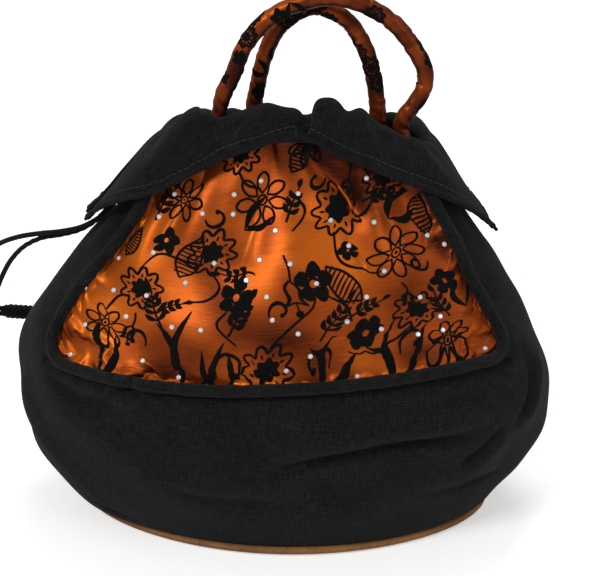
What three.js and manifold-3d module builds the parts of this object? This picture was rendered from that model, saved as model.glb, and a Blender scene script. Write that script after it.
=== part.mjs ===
// Drawstring pouch: black cloth body with a printed satin panel on the front and back, a flared
// collar over the drawstring tunnels, a gathered mouth and two cloth tube handles.
// Millimetres, +Z up. The front faces -Y, and the origin is under the middle of the base.
import * as THREE from 'three';
import { mergeVertices } from 'three/addons/utils/BufferGeometryUtils.js';
import Module from 'manifold-3d';

const wasm = await Module();
wasm.setup();

// Driving dimensions: cloth and gaps
const clearance = 0.3;
const clothThickness = 1.6;
const liningThickness = 1.0;
const liningSlack = 1.2;
const edgeDrop = 1.0;
const collarThickness = 1.6;
const facingSlack = 0.7;
const basePanelThickness = 4;
const baseBoardThickness = 2;

// Driving dimensions: the body's outline, one section for each height
const sections = [
  { height: 0, halfWidth: 106, halfDepth: 58, squareness: -0.1, shift: 0 },
  { height: 40, halfWidth: 130, halfDepth: 69.5, squareness: 0.05, shift: 0 },
  { height: 85, halfWidth: 135, halfDepth: 72, squareness: 0.15, shift: 0 },
  { height: 118, halfWidth: 120, halfDepth: 61, squareness: 0.15, shift: 0 },
  { height: 150, halfWidth: 96, halfDepth: 43, squareness: 0.15, shift: 2 },
  { height: 180, halfWidth: 74, halfDepth: 25, squareness: 0.5, shift: 4 },
  { height: 203, halfWidth: 62, halfDepth: 16, squareness: 0.8, shift: 6 },
  { height: 235, halfWidth: 56, halfDepth: 14, squareness: 0.8, shift: 6 },
];

// Driving dimensions: panels, piping and the mouth's edge
const seamHeight = 100;
const seamAngle = THREE.MathUtils.degToRad(61);
const seamCornerRadius = 14;
const pipingRadius = 3;
const pipingSlack = 0.8;
const frontTopHeight = 214.5;
const backTopHeight = 203;
const sideTopHeight = 197;

// Driving dimensions: drawstring and its tunnels
const cordRadius = 1.3;
const casingDrop = 6.5;
const casingHalfHeight = 4.6;
const casingWall = 1.2;
const casingEndAngle = THREE.MathUtils.degToRad(58);
const endWrapRadius = 4;

// Driving dimensions: collar
const collarFrontDrop = 12.5;
const collarBackDrop = 11;
const collarSideDrop = 43;
const collarHemPower = 1.35;
const collarFrontFlare = 6.2;
const collarSideFlare = 8;
const collarSwell = 1;
const collarCrest = 2.4;
const facingDepth = 16;

// Driving dimensions: handles
const handleRadius = 3.9;
const handleWall = 0.9;
const handleEndGap = 3;
const tabHalfWidth = 4;
const tabThickness = 3.5;
const tabDepth = 13;
const pivotRise = 8;
const frontHandle = { leftAngle: -37, rightAngle: 70, centre: 22, halfSpan: 47, foot: 2.5, rise: 52 };
const backHandle = { leftAngle: -160, rightAngle: 137, centre: 16, halfSpan: 28, foot: 14, rise: 45 };

// Routes of the two free ends of the drawstring, from the tunnel's side slit to the end wrap
const upperStrandRoute = [
  [-49.8, -15.8, 199.4], [-54.2, -13.6, 197.4], [-59.1, -11.2, 193.5], [-64.4, -9.0, 188.0],
  [-70.4, -7.0, 181.1], [-76.9, -5.3, 173.2], [-83.6, -3.7, 165.2], [-91.0, -2.6, 157.8],
  [-100.0, -2.2, 152.6], [-110.5, -2.2, 150.0], [-121.0, -2.0, 148.6], [-132.5, -1.0, 146.0],
  [-143.6, 2.0, 140.6], [-152.6, 6.4, 132.0], [-157.8, 10.6, 121.0], [-158.8, 13.0, 111.0],
  [-157.0, 14.6, 103.0], [-152.8, 17.1, 97.5], [-149.0, 19.9, 95.9],
];
const lowerStrandRoute = [
  [-52.5, 16.7, 194.1], [-57.0, 14.3, 192.5], [-61.7, 11.7, 189.4], [-67.0, 9.3, 184.2],
  [-72.9, 7.2, 177.5], [-79.5, 5.5, 169.8], [-86.6, 3.9, 161.6], [-93.9, 2.7, 154.0],
  [-102.0, 1.6, 149.4], [-111.0, 0.9, 147.0], [-121.0, 0.8, 145.0], [-130.2, 1.2, 140.2],
  [-138.0, 3.0, 132.0], [-144.2, 6.2, 121.8], [-149.2, 9.4, 111.4], [-153.4, 11.2, 102.2],
  [-155.2, 13.2, 96.6], [-153.7, 16.2, 94.1], [-149.8, 19.3, 93.1],
];
const endWrapStart = new THREE.Vector3(-149.2, 19.8, 94.4);
const endWrapEnd = new THREE.Vector3(-125.6, 37.4, 84.4);

// Mesh detail: how many facets each kind of piece gets
const baseSides = 48;
const bandColumns = 32;
const bandRows = 6;
const panelColumns = 18;
const panelRows = 10;
const kneeRows = 8;
const gussetColumns = 8;
const casingColumns = 16;
const collarColumns = 24;
const liningColumns = 32;
const tabColumns = 2;
const tabRows = 4;
const seamSidePoints = 9;
const seamCornerPoints = 4;
const seamBottomPoints = 12;
const pipingSteps = 46;
const pipingSides = 8;
const tubeSides = 8;
const handleSteps = 20;
const coreEndRows = 6;
const loopSteps = 40;
const strandSteps = 26;
const wrapSteps = 6;
const wrapSides = 12;

const fullTurn = 2 * Math.PI;
const quarterTurn = Math.PI / 2;

// Layers under the outer cloth, as offsets from its outer face
const liningOuter = -(clothThickness + liningSlack);
const liningInner = liningOuter - liningThickness;
const facingOuter = liningInner - facingSlack;
const facingInner = facingOuter - collarThickness;
const tabOuter = facingInner - clearance;
const tabInner = tabOuter - tabThickness;
const tabMiddle = (tabOuter + tabInner) / 2;
const coreRadius = (handleRadius - handleWall) * Math.cos(Math.PI / tubeSides) - clearance;
const seamGap = pipingRadius + pipingSlack;
const bandFoot = basePanelThickness + clearance;

const blackCloth = new THREE.MeshStandardMaterial({ color: 0x1d1d1f, roughness: 0.95, metalness: 0 });
const copperSatin = new THREE.MeshStandardMaterial({ color: 0xa5541d, roughness: 0.38, metalness: 0.1 });
const brownBase = new THREE.MeshStandardMaterial({ color: 0x8a5a2c, roughness: 0.7, metalness: 0 });
const liningCloth = new THREE.MeshStandardMaterial({ color: 0x26262a, roughness: 0.85, metalness: 0 });
const blackCord = new THREE.MeshStandardMaterial({ color: 0x121214, roughness: 0.7, metalness: 0 });
const boardGrey = new THREE.MeshStandardMaterial({ color: 0x8d8478, roughness: 0.9, metalness: 0 });
const coreClear = new THREE.MeshStandardMaterial({ color: 0xc9c6bd, roughness: 0.5, metalness: 0 });

// The body's outer face
const profile = new THREE.CubicInterpolant(
  sections.map((section) => section.height),
  sections.flatMap((section) => [section.halfWidth, section.halfDepth, section.squareness, section.shift]),
  4,
);

// A point of the outer face. The angle runs from the front (-Y) towards +X.
function skinPoint(angle, height) {
  const [halfWidth, halfDepth, squareness, shift] = profile.evaluate(height);
  const sine = Math.sin(angle);
  const depth = halfDepth * Math.cos(angle) * (1 + squareness * sine * sine);
  return new THREE.Vector3(shift + halfWidth * sine, -depth, height);
}

const angleStep = 0.01;
const heightStep = 0.5;

function skinNormal(angle, height) {
  const along = skinPoint(angle + angleStep, height).sub(skinPoint(angle - angleStep, height));
  const up = skinPoint(angle, height + heightStep).sub(skinPoint(angle, height - heightStep));
  return along.cross(up).normalize();
}

// A point at a distance outside (positive) or inside (negative) the outer face.
function layerPoint(angle, height, offset) {
  return skinPoint(angle, height).addScaledVector(skinNormal(angle, height), offset);
}

// The turn that covers a length along the outer face at one height.
function turnFor(length, angle, height) {
  const chord = skinPoint(angle + angleStep, height).distanceTo(skinPoint(angle - angleStep, height));
  return (length * 2 * angleStep) / chord;
}

// Height of the mouth's edge: level over the front and back, falling to the two sides.
function topHeight(angle) {
  const middle = Math.cos(angle) > 0 ? frontTopHeight : backTopHeight;
  return sideTopHeight + (middle - sideTopHeight) * (1 - Math.sin(angle) ** 4);
}

// Where the outer cloth and the lining end, under the fold of the collar.
function clothTop(angle) {
  return topHeight(angle) - edgeDrop;
}

function casingHeight(angle) {
  return topHeight(angle) - casingDrop;
}

function spread(count, from, to) {
  return Array.from({ length: count + 1 }, (_, i) => from + ((to - from) * i) / count);
}

// Solids
function solidFrom(points, triangles) {
  const geometry = new THREE.BufferGeometry();
  const coordinates = points.flatMap((point) => point.toArray());
  geometry.setAttribute('position', new THREE.Float32BufferAttribute(coordinates, 3));
  geometry.setIndex(triangles);
  return geometry;
}

// A closed sheet from columns of matching outer and inner points, bottom to top. Columns run
// towards +X seen from outside. With floors, the columns close into a cup with that bottom.
function sheetSolid(columns, floors = null) {
  const rows = columns[0].outer.length;
  const closed = floors !== null;
  const points = columns.flatMap((column) => [...column.outer, ...column.inner]);
  const triangles = [];
  const outer = (c, r) => (c % columns.length) * 2 * rows + r;
  const inner = (c, r) => outer(c, r) + rows;
  const quad = (a, b, c, d) => triangles.push(a, b, c, a, c, d);
  const spans = closed ? columns.length : columns.length - 1;
  for (let c = 0; c < spans; c += 1) {
    for (let r = 0; r < rows - 1; r += 1) {
      quad(outer(c, r), outer(c + 1, r), outer(c + 1, r + 1), outer(c, r + 1));
      quad(inner(c, r), inner(c, r + 1), inner(c + 1, r + 1), inner(c + 1, r));
    }
    quad(outer(c, rows - 1), outer(c + 1, rows - 1), inner(c + 1, rows - 1), inner(c, rows - 1));
    if (closed) {
      triangles.push(outer(c + 1, 0), outer(c, 0), points.length);
      triangles.push(inner(c, 0), inner(c + 1, 0), points.length + 1);
    } else {
      quad(outer(c, 0), inner(c, 0), inner(c + 1, 0), outer(c + 1, 0));
    }
  }
  if (closed) {
    return solidFrom([...points, floors.outer, floors.inner], triangles);
  }
  for (let r = 0; r < rows - 1; r += 1) {
    quad(outer(0, r), outer(0, r + 1), inner(0, r + 1), inner(0, r));
    quad(outer(spans, r), inner(spans, r), inner(spans, r + 1), outer(spans, r + 1));
  }
  return solidFrom(points, triangles);
}

// A patch of one layer: locate gives the angle and height for shares across and up the patch.
function patchSolid(columnCount, rowCount, locate, outerOffset, innerOffset) {
  const columns = spread(columnCount, 0, 1).map((across) => {
    const places = spread(rowCount, 0, 1).map((up) => locate(across, up));
    return {
      outer: places.map(([angle, height]) => layerPoint(angle, height, outerOffset)),
      inner: places.map(([angle, height]) => layerPoint(angle, height, innerOffset)),
    };
  });
  return sheetSolid(columns);
}

function roundShape(radius, sides) {
  const corners = spread(sides, 0, fullTurn).slice(0, -1);
  const corner = (turn) => new THREE.Vector2(radius * Math.cos(turn), radius * Math.sin(turn));
  return new THREE.Shape(corners.map(corner));
}

function tubeSolid(curve, radius, steps, sides, innerRadius = 0) {
  const shape = roundShape(radius, sides);
  if (innerRadius > 0) {
    shape.holes.push(roundShape(innerRadius, sides));
  }
  return new THREE.ExtrudeGeometry(shape, { steps, extrudePath: curve, bevelEnabled: false });
}

function smoothCurve(points) {
  return new THREE.CatmullRomCurve3(points, false, 'centripetal');
}

function manifoldFrom(geometry) {
  const bare = geometry.clone();
  bare.deleteAttribute('normal');
  bare.deleteAttribute('uv');
  const merged = mergeVertices(bare);
  const vertProperties = new Float32Array(merged.attributes.position.array);
  const triVerts = new Uint32Array(merged.index.array);
  return new wasm.Manifold(new wasm.Mesh({ numProp: 3, vertProperties, triVerts }));
}

function joined(geometries) {
  const solid = geometries.map(manifoldFrom).reduce((sum, next) => sum.add(next));
  const mesh = solid.getMesh();
  const geometry = new THREE.BufferGeometry();
  geometry.setAttribute('position', new THREE.BufferAttribute(new Float32Array(mesh.vertProperties), 3));
  geometry.setIndex(new THREE.BufferAttribute(new Uint32Array(mesh.triVerts), 1));
  return geometry;
}

const pouch = new THREE.Group();

function addPart(name, geometry, material) {
  const mesh = new THREE.Mesh(geometry, material);
  mesh.name = name;
  pouch.add(mesh);
}

// Base panel and the stiff board above it
function plateSolid(height, offset, thickness) {
  const turns = spread(baseSides, 0, fullTurn).slice(0, -1);
  const rim = turns.map((turn) => layerPoint(turn, height, offset));
  const shape = new THREE.Shape(rim.map((point) => new THREE.Vector2(point.x, point.y)));
  const plate = new THREE.ExtrudeGeometry(shape, { depth: thickness, bevelEnabled: false });
  return plate.translate(0, 0, height);
}

const boardOffset = liningOuter - clothThickness;
addPart('base_panel', plateSolid(0, 0, basePanelThickness), brownBase);
addPart('base_board', plateSolid(bandFoot, boardOffset, baseBoardThickness), boardGrey);

// Panel seam: a U with round lower corners, on both the front and the back
const seamScale = 1 / turnFor(1, seamAngle, seamHeight);
const seamHalfLength = seamAngle * seamScale;
const cornerStart = seamHalfLength - seamCornerRadius;
const cornerCentre = seamHeight + seamCornerRadius;
const pipingTop = casingHeight(Math.PI - seamAngle) - casingHalfHeight - 2 * pipingSlack;
const kneeHeight = pipingTop + pipingSlack;
const kneeShare = kneeRows / panelRows;

// Half the gap that a panel and a gusset leave at their seam: wide at the piping, closed above it.
function halfSeamGap(height) {
  return height > kneeHeight + clearance ? clearance / 2 : seamGap;
}

function panelPlace(across, up, facing) {
  const length = (2 * across - 1) * (seamHalfLength - seamGap);
  const past = Math.max(0, Math.abs(length) - cornerStart);
  const radius = seamCornerRadius - seamGap;
  const bottom = seamHeight + seamGap + radius - Math.sqrt(Math.max(0, radius ** 2 - past ** 2));
  const share = length / (seamHalfLength - seamGap);
  const nominal = facing + share * seamAngle;
  const height = up <= kneeShare
    ? THREE.MathUtils.lerp(bottom, kneeHeight, up / kneeShare)
    : THREE.MathUtils.lerp(kneeHeight, clothTop(nominal), (up - kneeShare) / (1 - kneeShare));
  const limit = seamAngle - turnFor(halfSeamGap(height), seamAngle, height);
  return [facing + share * limit, height];
}

function gussetPlace(across, up, facing) {
  const nominal = facing + (2 * across - 1) * (quarterTurn - seamAngle);
  const bottom = seamHeight + clearance / 2;
  const height = up <= kneeShare
    ? THREE.MathUtils.lerp(bottom, kneeHeight, up / kneeShare)
    : THREE.MathUtils.lerp(kneeHeight, clothTop(nominal), (up - kneeShare) / (1 - kneeShare));
  const rise = Math.max(0, cornerCentre - height);
  const cornerLength = cornerStart + Math.sqrt((seamCornerRadius + seamGap) ** 2 - rise ** 2);
  const straightEdge = seamAngle + turnFor(halfSeamGap(height), seamAngle, height);
  const edge = rise > 0 ? cornerLength / seamScale : straightEdge;
  return [facing + (2 * across - 1) * (quarterTurn - edge), height];
}

function bandTop(turn) {
  const past = Math.abs(turn) * seamScale - cornerStart;
  const radius = seamCornerRadius + seamGap;
  const dip = past <= 0 ? radius : Math.sqrt(Math.max(0, radius ** 2 - past ** 2));
  return Math.min(cornerCentre - dip, seamHeight - clearance / 2);
}

function bandPlace(across, up, facing) {
  const turn = (2 * across - 1) * (quarterTurn - turnFor(clearance / 2, quarterTurn, bandFoot));
  return [facing + turn, THREE.MathUtils.lerp(bandFoot, bandTop(turn), up)];
}

// The seam line, from the upper left end down, across and up to the upper right end.
function seamPlaces(facing) {
  const side = spread(seamSidePoints, pipingTop, cornerCentre).map((height) => [seamAngle, height]);
  const corner = spread(seamCornerPoints, 0, quarterTurn).slice(1, -1).map((turn) => [
    (cornerStart + seamCornerRadius * Math.cos(turn)) / seamScale,
    cornerCentre - seamCornerRadius * Math.sin(turn),
  ]);
  const half = [...side, ...corner];
  const straight = cornerStart / seamScale;
  const bottom = spread(seamBottomPoints, -straight, straight).map((turn) => [turn, seamHeight]);
  const mirrored = half.map(([turn, height]) => [-turn, height]);
  return [...mirrored, ...bottom, ...half.reverse()].map(([turn, height]) => [facing + turn, height]);
}

const pipingLift = pipingRadius - clothThickness;

function pipingSolid(facing) {
  const line = seamPlaces(facing).map(([angle, height]) => layerPoint(angle, height, pipingLift));
  return tubeSolid(smoothCurve(line), pipingRadius, pipingSteps, pipingSides);
}

// Drawstring tunnel: a strip sewn along both edges, bulging over the cord
const casingBulge = 2 * cordRadius + 5 * clearance;
const casingShoulder = 0.6 * casingHalfHeight;
const casingShoulderLift = 0.7;
const casingRows = [
  { rise: -casingHalfHeight, lift: 0 },
  { rise: -casingShoulder, lift: casingShoulderLift },
  { rise: 0, lift: 1 },
  { rise: casingShoulder, lift: casingShoulderLift },
  { rise: casingHalfHeight, lift: 0 },
];

function casingSolid(facing) {
  const columns = spread(casingColumns, -casingEndAngle, casingEndAngle).map((turn) => {
    const angle = facing + turn;
    const place = ({ rise, lift }, wall) =>
      layerPoint(angle, casingHeight(angle) + rise, clearance + lift * casingBulge + wall);
    return {
      outer: casingRows.map((row) => place(row, casingWall)),
      inner: casingRows.map((row) => place(row, 0)),
    };
  });
  return sheetSolid(columns);
}

// Collar: flares from the hem to the mouth's edge, turns over it and runs down inside as a facing
function collarHem(angle) {
  const middle = Math.cos(angle) > 0 ? frontTopHeight - collarFrontDrop : backTopHeight - collarBackDrop;
  const side = sideTopHeight - collarSideDrop;
  return side + (middle - side) * Math.abs(Math.cos(angle)) ** collarHemPower;
}

const casingCoverEnd = casingEndAngle + 0.1;

function collarColumn(angle) {
  const top = topHeight(angle);
  const hem = collarHem(angle);
  const sideways = Math.sin(angle) ** 2;
  const flare = THREE.MathUtils.lerp(collarFrontFlare, collarSideFlare, sideways);
  const casingCover = casingBulge + casingWall + 2 * clearance;
  const turnAway = Math.asin(Math.sqrt(sideways));
  const pastCasing = THREE.MathUtils.smoothstep(turnAway, casingCoverEnd, quarterTurn);
  const shoulder = THREE.MathUtils.lerp(casingCover, 2 * cordRadius + 5 * clearance, pastCasing);
  const shoulderHeight = casingHeight(angle) + casingShoulder;
  const swell = (flare + shoulder) / 2 + collarSwell;
  const rows = [
    { inner: flare, outer: flare + collarThickness, height: hem },
    { inner: swell, outer: swell + collarThickness, height: (hem + shoulderHeight) / 2 },
    { inner: shoulder, outer: shoulder + collarThickness, height: shoulderHeight },
    { inner: clearance, outer: collarThickness, height: top + clearance, crest: collarCrest },
    { inner: facingOuter, outer: facingInner + clearance, height: top + clearance, crest: collarCrest },
    { inner: facingOuter, outer: facingInner, height: top - facingDepth },
  ];
  return {
    outer: rows.map((row) => layerPoint(angle, row.height + (row.crest ?? 0), row.outer)),
    inner: rows.map((row) => layerPoint(angle, row.height, row.inner)),
  };
}

function collarSolid(facing) {
  const reach = quarterTurn - turnFor(clearance, quarterTurn, sideTopHeight);
  return sheetSolid(spread(collarColumns, -reach, reach).map((turn) => collarColumn(facing + turn)));
}

// Lining: a cup inside the outer cloth, open at the mouth
const liningFloor = bandFoot + baseBoardThickness + clearance;

function liningSolid() {
  const columns = spread(liningColumns, 0, fullTurn).slice(0, -1).map((angle) => {
    const heights = [
      liningFloor,
      ...spread(bandRows, bandFoot, seamHeight - seamGap).slice(1, -1),
      ...spread(kneeRows, seamHeight, kneeHeight).slice(0, -1),
      ...spread(panelRows - kneeRows, kneeHeight, clothTop(angle)),
    ];
    return {
      outer: heights.map((height) => layerPoint(angle, height, liningOuter)),
      inner: heights.map((height, row) =>
        layerPoint(angle, row === 0 ? height + liningThickness : height, liningInner)),
    };
  });
  const floors = {
    outer: new THREE.Vector3(0, 0, liningFloor),
    inner: new THREE.Vector3(0, 0, liningFloor + liningThickness),
  };
  return sheetSolid(columns, floors);
}

const sides = [
  { name: 'front', facing: 0 },
  { name: 'back', facing: Math.PI },
];

for (const { name, facing } of sides) {
  const bandAt = (across, up) => bandPlace(across, up, facing);
  const panelAt = (across, up) => panelPlace(across, up, facing);
  const band = patchSolid(bandColumns, bandRows, bandAt, 0, -clothThickness);
  const panel = patchSolid(panelColumns, panelRows, panelAt, 0, -clothThickness);
  addPart(`${name}_lower_band`, band, blackCloth);
  addPart(`${name}_panel`, panel, copperSatin);
  addPart(`${name}_piping`, pipingSolid(facing), blackCloth);
  addPart(`${name}_casing`, casingSolid(facing), blackCloth);
  addPart(`${name}_collar`, collarSolid(facing), blackCloth);
}

for (const [name, facing] of [['left_gusset', -quarterTurn], ['right_gusset', quarterTurn]]) {
  const gussetAt = (across, up) => gussetPlace(across, up, facing);
  addPart(name, patchSolid(gussetColumns, panelRows, gussetAt, 0, -clothThickness), blackCloth);
}

addPart('lining', liningSolid(), liningCloth);

// Handles: a cloth sleeve over a bendy core, each end standing on a cloth tab sewn to the facing
function pivotHeight(angle) {
  return topHeight(angle) + collarCrest + pivotRise;
}

function tabSolid(angle) {
  const foot = topHeight(angle) - tabDepth;
  const head = pivotHeight(angle) - coreRadius - clearance;
  const place = (across, up) => {
    const height = THREE.MathUtils.lerp(foot, head, up);
    return [angle + (2 * across - 1) * turnFor(tabHalfWidth, angle, height), height];
  };
  return patchSolid(tabColumns, tabRows, place, tabOuter, tabInner);
}

const archTurns = [165, 145, 120, 90, 60, 35, 15].map(THREE.MathUtils.degToRad);

function handleCurve(handle, mouthHeight, left, right) {
  const spring = mouthHeight + handle.foot;
  const arch = archTurns.map((turn) => {
    const x = handle.centre + handle.halfSpan * Math.cos(turn);
    const share = (x - left.x) / (right.x - left.x);
    const y = THREE.MathUtils.lerp(left.y, right.y, THREE.MathUtils.clamp(share, 0, 1));
    return new THREE.Vector3(x, y, spring + handle.rise * Math.sin(turn));
  });
  return smoothCurve([left, ...arch, right]);
}

function addHandle(name, handle, mouthHeight) {
  const angles = [handle.leftAngle, handle.rightAngle].map(THREE.MathUtils.degToRad);
  const [left, right] = angles.map((angle) => layerPoint(angle, pivotHeight(angle), tabMiddle));
  const curve = handleCurve(handle, mouthHeight, left, right);
  const length = curve.getLength();
  const endShare = handleEndGap / length;
  const sleevePoints = spread(handleSteps, endShare, 1 - endShare).map((share) => curve.getPointAt(share));
  const boreRadius = handleRadius - handleWall;
  const sleeve = tubeSolid(smoothCurve(sleevePoints), handleRadius, handleSteps, tubeSides, boreRadius);
  const ends = [left, right].map((end) =>
    new THREE.SphereGeometry(coreRadius, tubeSides, coreEndRows).translate(end.x, end.y, end.z));
  const core = joined([tubeSolid(curve, coreRadius, handleSteps, tubeSides), ...ends]);
  addPart(`${name}_handle_sleeve`, sleeve, copperSatin);
  addPart(`${name}_handle_core`, core, coreClear);
  addPart(`${name}_left_handle_tab`, tabSolid(angles[0]), copperSatin);
  addPart(`${name}_right_handle_tab`, tabSolid(angles[1]), copperSatin);
}

addHandle('front', frontHandle, frontTopHeight);
addHandle('back', backHandle, backTopHeight);

// Drawstring: one cord through both tunnels, with both ends out at the left
const cordLift = clearance + casingBulge / 2;
const cordTurns = spread(loopSteps, -casingEndAngle, Math.PI + casingEndAngle);
const cordLine = cordTurns.map((angle) => layerPoint(angle, casingHeight(angle), cordLift));
addPart('drawstring_loop', tubeSolid(smoothCurve(cordLine), cordRadius, loopSteps, tubeSides), blackCord);

function strandSolid(route) {
  const curve = smoothCurve(route.map((point) => new THREE.Vector3(...point)));
  return tubeSolid(curve, cordRadius, strandSteps, tubeSides);
}

addPart('drawstring_upper_strand', strandSolid(upperStrandRoute), blackCord);
addPart('drawstring_lower_strand', strandSolid(lowerStrandRoute), blackCord);
const wrapLine = new THREE.LineCurve3(endWrapStart, endWrapEnd);
addPart('drawstring_end_wrap', tubeSolid(wrapLine, endWrapRadius, wrapSteps, wrapSides), blackCloth);

export default pouch;
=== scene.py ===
import math

import bpy
import numpy as np
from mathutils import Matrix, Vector


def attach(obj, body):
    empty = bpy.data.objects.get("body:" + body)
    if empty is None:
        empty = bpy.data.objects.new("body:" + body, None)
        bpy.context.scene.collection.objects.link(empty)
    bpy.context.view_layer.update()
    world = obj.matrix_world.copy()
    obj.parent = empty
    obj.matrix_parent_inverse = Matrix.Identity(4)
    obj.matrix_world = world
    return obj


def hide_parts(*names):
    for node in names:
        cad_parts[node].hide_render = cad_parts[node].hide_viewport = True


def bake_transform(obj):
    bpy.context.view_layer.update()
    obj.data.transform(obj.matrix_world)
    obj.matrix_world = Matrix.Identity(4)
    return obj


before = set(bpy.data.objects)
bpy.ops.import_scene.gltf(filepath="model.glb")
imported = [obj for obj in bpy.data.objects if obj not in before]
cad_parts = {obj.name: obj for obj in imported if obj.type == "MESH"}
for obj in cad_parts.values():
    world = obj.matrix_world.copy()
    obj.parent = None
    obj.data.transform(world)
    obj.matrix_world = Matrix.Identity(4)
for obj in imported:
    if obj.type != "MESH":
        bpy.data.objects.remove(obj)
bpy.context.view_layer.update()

# Geometry is worked out in millimetres and written to meshes in metres.
MM = 0.001
FRONT = 0.0
BACK = math.pi
QUARTER = math.pi / 2
FULL_TURN = 2 * math.pi
SIDES = (("front", FRONT), ("back", BACK))
rng = np.random.default_rng(11)

# The body's outline: height, half width, half depth, squareness, shift
SECTIONS = np.array([
    (0, 106, 58, -0.1, 0), (40, 130, 69.5, 0.05, 0), (85, 135, 72, 0.15, 0), (118, 120, 61, 0.15, 0),
    (150, 96, 43, 0.15, 2), (180, 74, 25, 0.5, 4), (203, 62, 16, 0.8, 6), (235, 56, 14, 0.8, 6),
], dtype=float)
SEAM_HEIGHT = 100.0
SEAM_ANGLE = math.radians(61)
CORNER_RADIUS = 14.0
PIPING_RADIUS = 3.0
PIPING_LIFT = 1.8
PIPING_TOP = 186.0
EDGE_INSET = 0.8
CLOTH = 1.4
BASE_HEIGHT = 4.0
FRONT_TOP, BACK_TOP, SIDE_TOP = 214.5, 203.0, 197.0
CASING_DROP = 6.5
CORD_RADIUS = 1.3
ANGLE_STEP = 0.01
HEIGHT_STEP = 0.5


def smooth(low, high, value):
    t = np.clip((value - low) / (high - low), 0, 1)
    return t * t * (3 - 2 * t)


def lerp(a, b, t):
    return a + (b - a) * t


def unit(v):
    return v / np.maximum(np.linalg.norm(v, axis=-1, keepdims=True), 1e-9)


def wrapped(degrees):
    return np.mod(degrees + 180, 360) - 180


def curve(places, values, at):
    """A smooth curve through rows of values, one for each place, held level past both ends."""
    at = np.clip(np.asarray(at, dtype=float), places[0], places[-1])
    secant = np.diff(values, axis=0) / np.diff(places)[:, None]
    slope = np.vstack([secant[:1], (secant[1:] + secant[:-1]) / 2, secant[-1:]])
    i = np.clip(np.searchsorted(places, at, side="right") - 1, 0, len(places) - 2)
    step = (places[i + 1] - places[i])[..., None]
    p = (at[..., None] - places[i][..., None]) / step
    rise = p * p * (3 - 2 * p)
    lead = p * (1 - p) ** 2
    trail = p * p * (p - 1)
    bend = slope[i] * step * lead + slope[i + 1] * step * trail
    return values[i] + (values[i + 1] - values[i]) * rise + bend


def spline(knots, at):
    return curve(knots[:, 0], knots[:, 1:], at)[..., 0]


# The outer face of the body
def skin(angle, height):
    angle, height = np.broadcast_arrays(np.asarray(angle, dtype=float), np.asarray(height, dtype=float))
    values = curve(SECTIONS[:, 0], SECTIONS[:, 1:], height)
    sine = np.sin(angle)
    depth = values[..., 1] * np.cos(angle) * (1 + values[..., 2] * sine ** 2)
    return np.stack([values[..., 3] + values[..., 0] * sine, -depth, height], axis=-1)


def skin_normal(angle, height):
    angle, height = np.asarray(angle, dtype=float), np.asarray(height, dtype=float)
    along = skin(angle + ANGLE_STEP, height) - skin(angle - ANGLE_STEP, height)
    up = skin(angle, height + HEIGHT_STEP) - skin(angle, height - HEIGHT_STEP)
    return unit(np.cross(along, up))


def turn_for(length, angle, height):
    chord = np.linalg.norm(skin(angle + ANGLE_STEP, height) - skin(angle - ANGLE_STEP, height), axis=-1)
    return length * 2 * ANGLE_STEP / chord


def top_height(angle):
    middle = np.where(np.cos(angle) > 0, FRONT_TOP, BACK_TOP)
    return SIDE_TOP + (middle - SIDE_TOP) * (1 - np.sin(angle) ** 4)


# Creases, as (angle, height) lines: depth of the valley, lift of the fold above it, widths
CREASES = [
    ([(-8, 54), (9, 64), (22, 69.5), (35.5, 72), (52, 76)], 5.0, 3.8, 3.0, 10.0),
    ([(55, 73), (48, 61), (41, 50)], 3.0, 2.4, 2.6, 7.0),
    ([(67, 108), (68, 94), (63, 81), (56, 66)], 2.6, 2.2, 3.0, 8.0),
    ([(-26, 106), (-31, 96), (-39, 84)], 2.6, 2.0, 2.8, 7.0),
    ([(-80, 80), (-73, 69), (-65, 56), (-57, 34), (-48, 17), (-34, 11)], 3.4, 2.6, 3.0, 8.0),
    ([(-58, 93), (-44, 88), (-28, 86)], 2.2, 1.8, 3.2, 8.0),
    ([(-24, 46), (-12, 40), (6, 38)], 1.8, 1.6, 3.4, 9.0),
    ([(20, 96), (34, 92), (50, 94)], 1.6, 1.6, 3.2, 8.0),
    ([(30, 40), (46, 36), (60, 40)], 2.0, 1.8, 3.2, 9.0),
    ([(-100, 60), (-112, 66), (-128, 64)], 2.2, 1.8, 3.0, 9.0),
    ([(150, 70), (170, 62), (192, 60), (210, 64)], 2.8, 2.4, 3.0, 9.0),
    ([(96, 58), (112, 66), (128, 68)], 2.2, 1.8, 3.0, 8.0),
    ([(222, 92), (230, 80), (236, 66)], 1.6, 1.4, 2.8, 8.0),
    ([(138, 98), (133, 84), (126, 74)], 1.6, 1.4, 2.8, 8.0),
]
POCKET = ([(4, 206), (9, 199), (16, 190), (25, 180), (33, 171)], 4.2, 1.4, 7.0, 10.0)
# Slow waves round the body: size, turns, lean with height, start, height where they are full
WAVES = [(1.5, 3, 0.05, 0.6, 30), (1.0, 7, -0.09, 1.9, 40), (0.4, 13, 0.16, 0.0, 40)]
GIRTH_SCALE = 112.0
# The lower left sags out round this place
BULGE_TURN, BULGE_HEIGHT = -62, 26
BULGE_TURN_WIDTH, BULGE_HEIGHT_WIDTH = 34, 26
BULGE_DEPTH = 4.5


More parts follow.
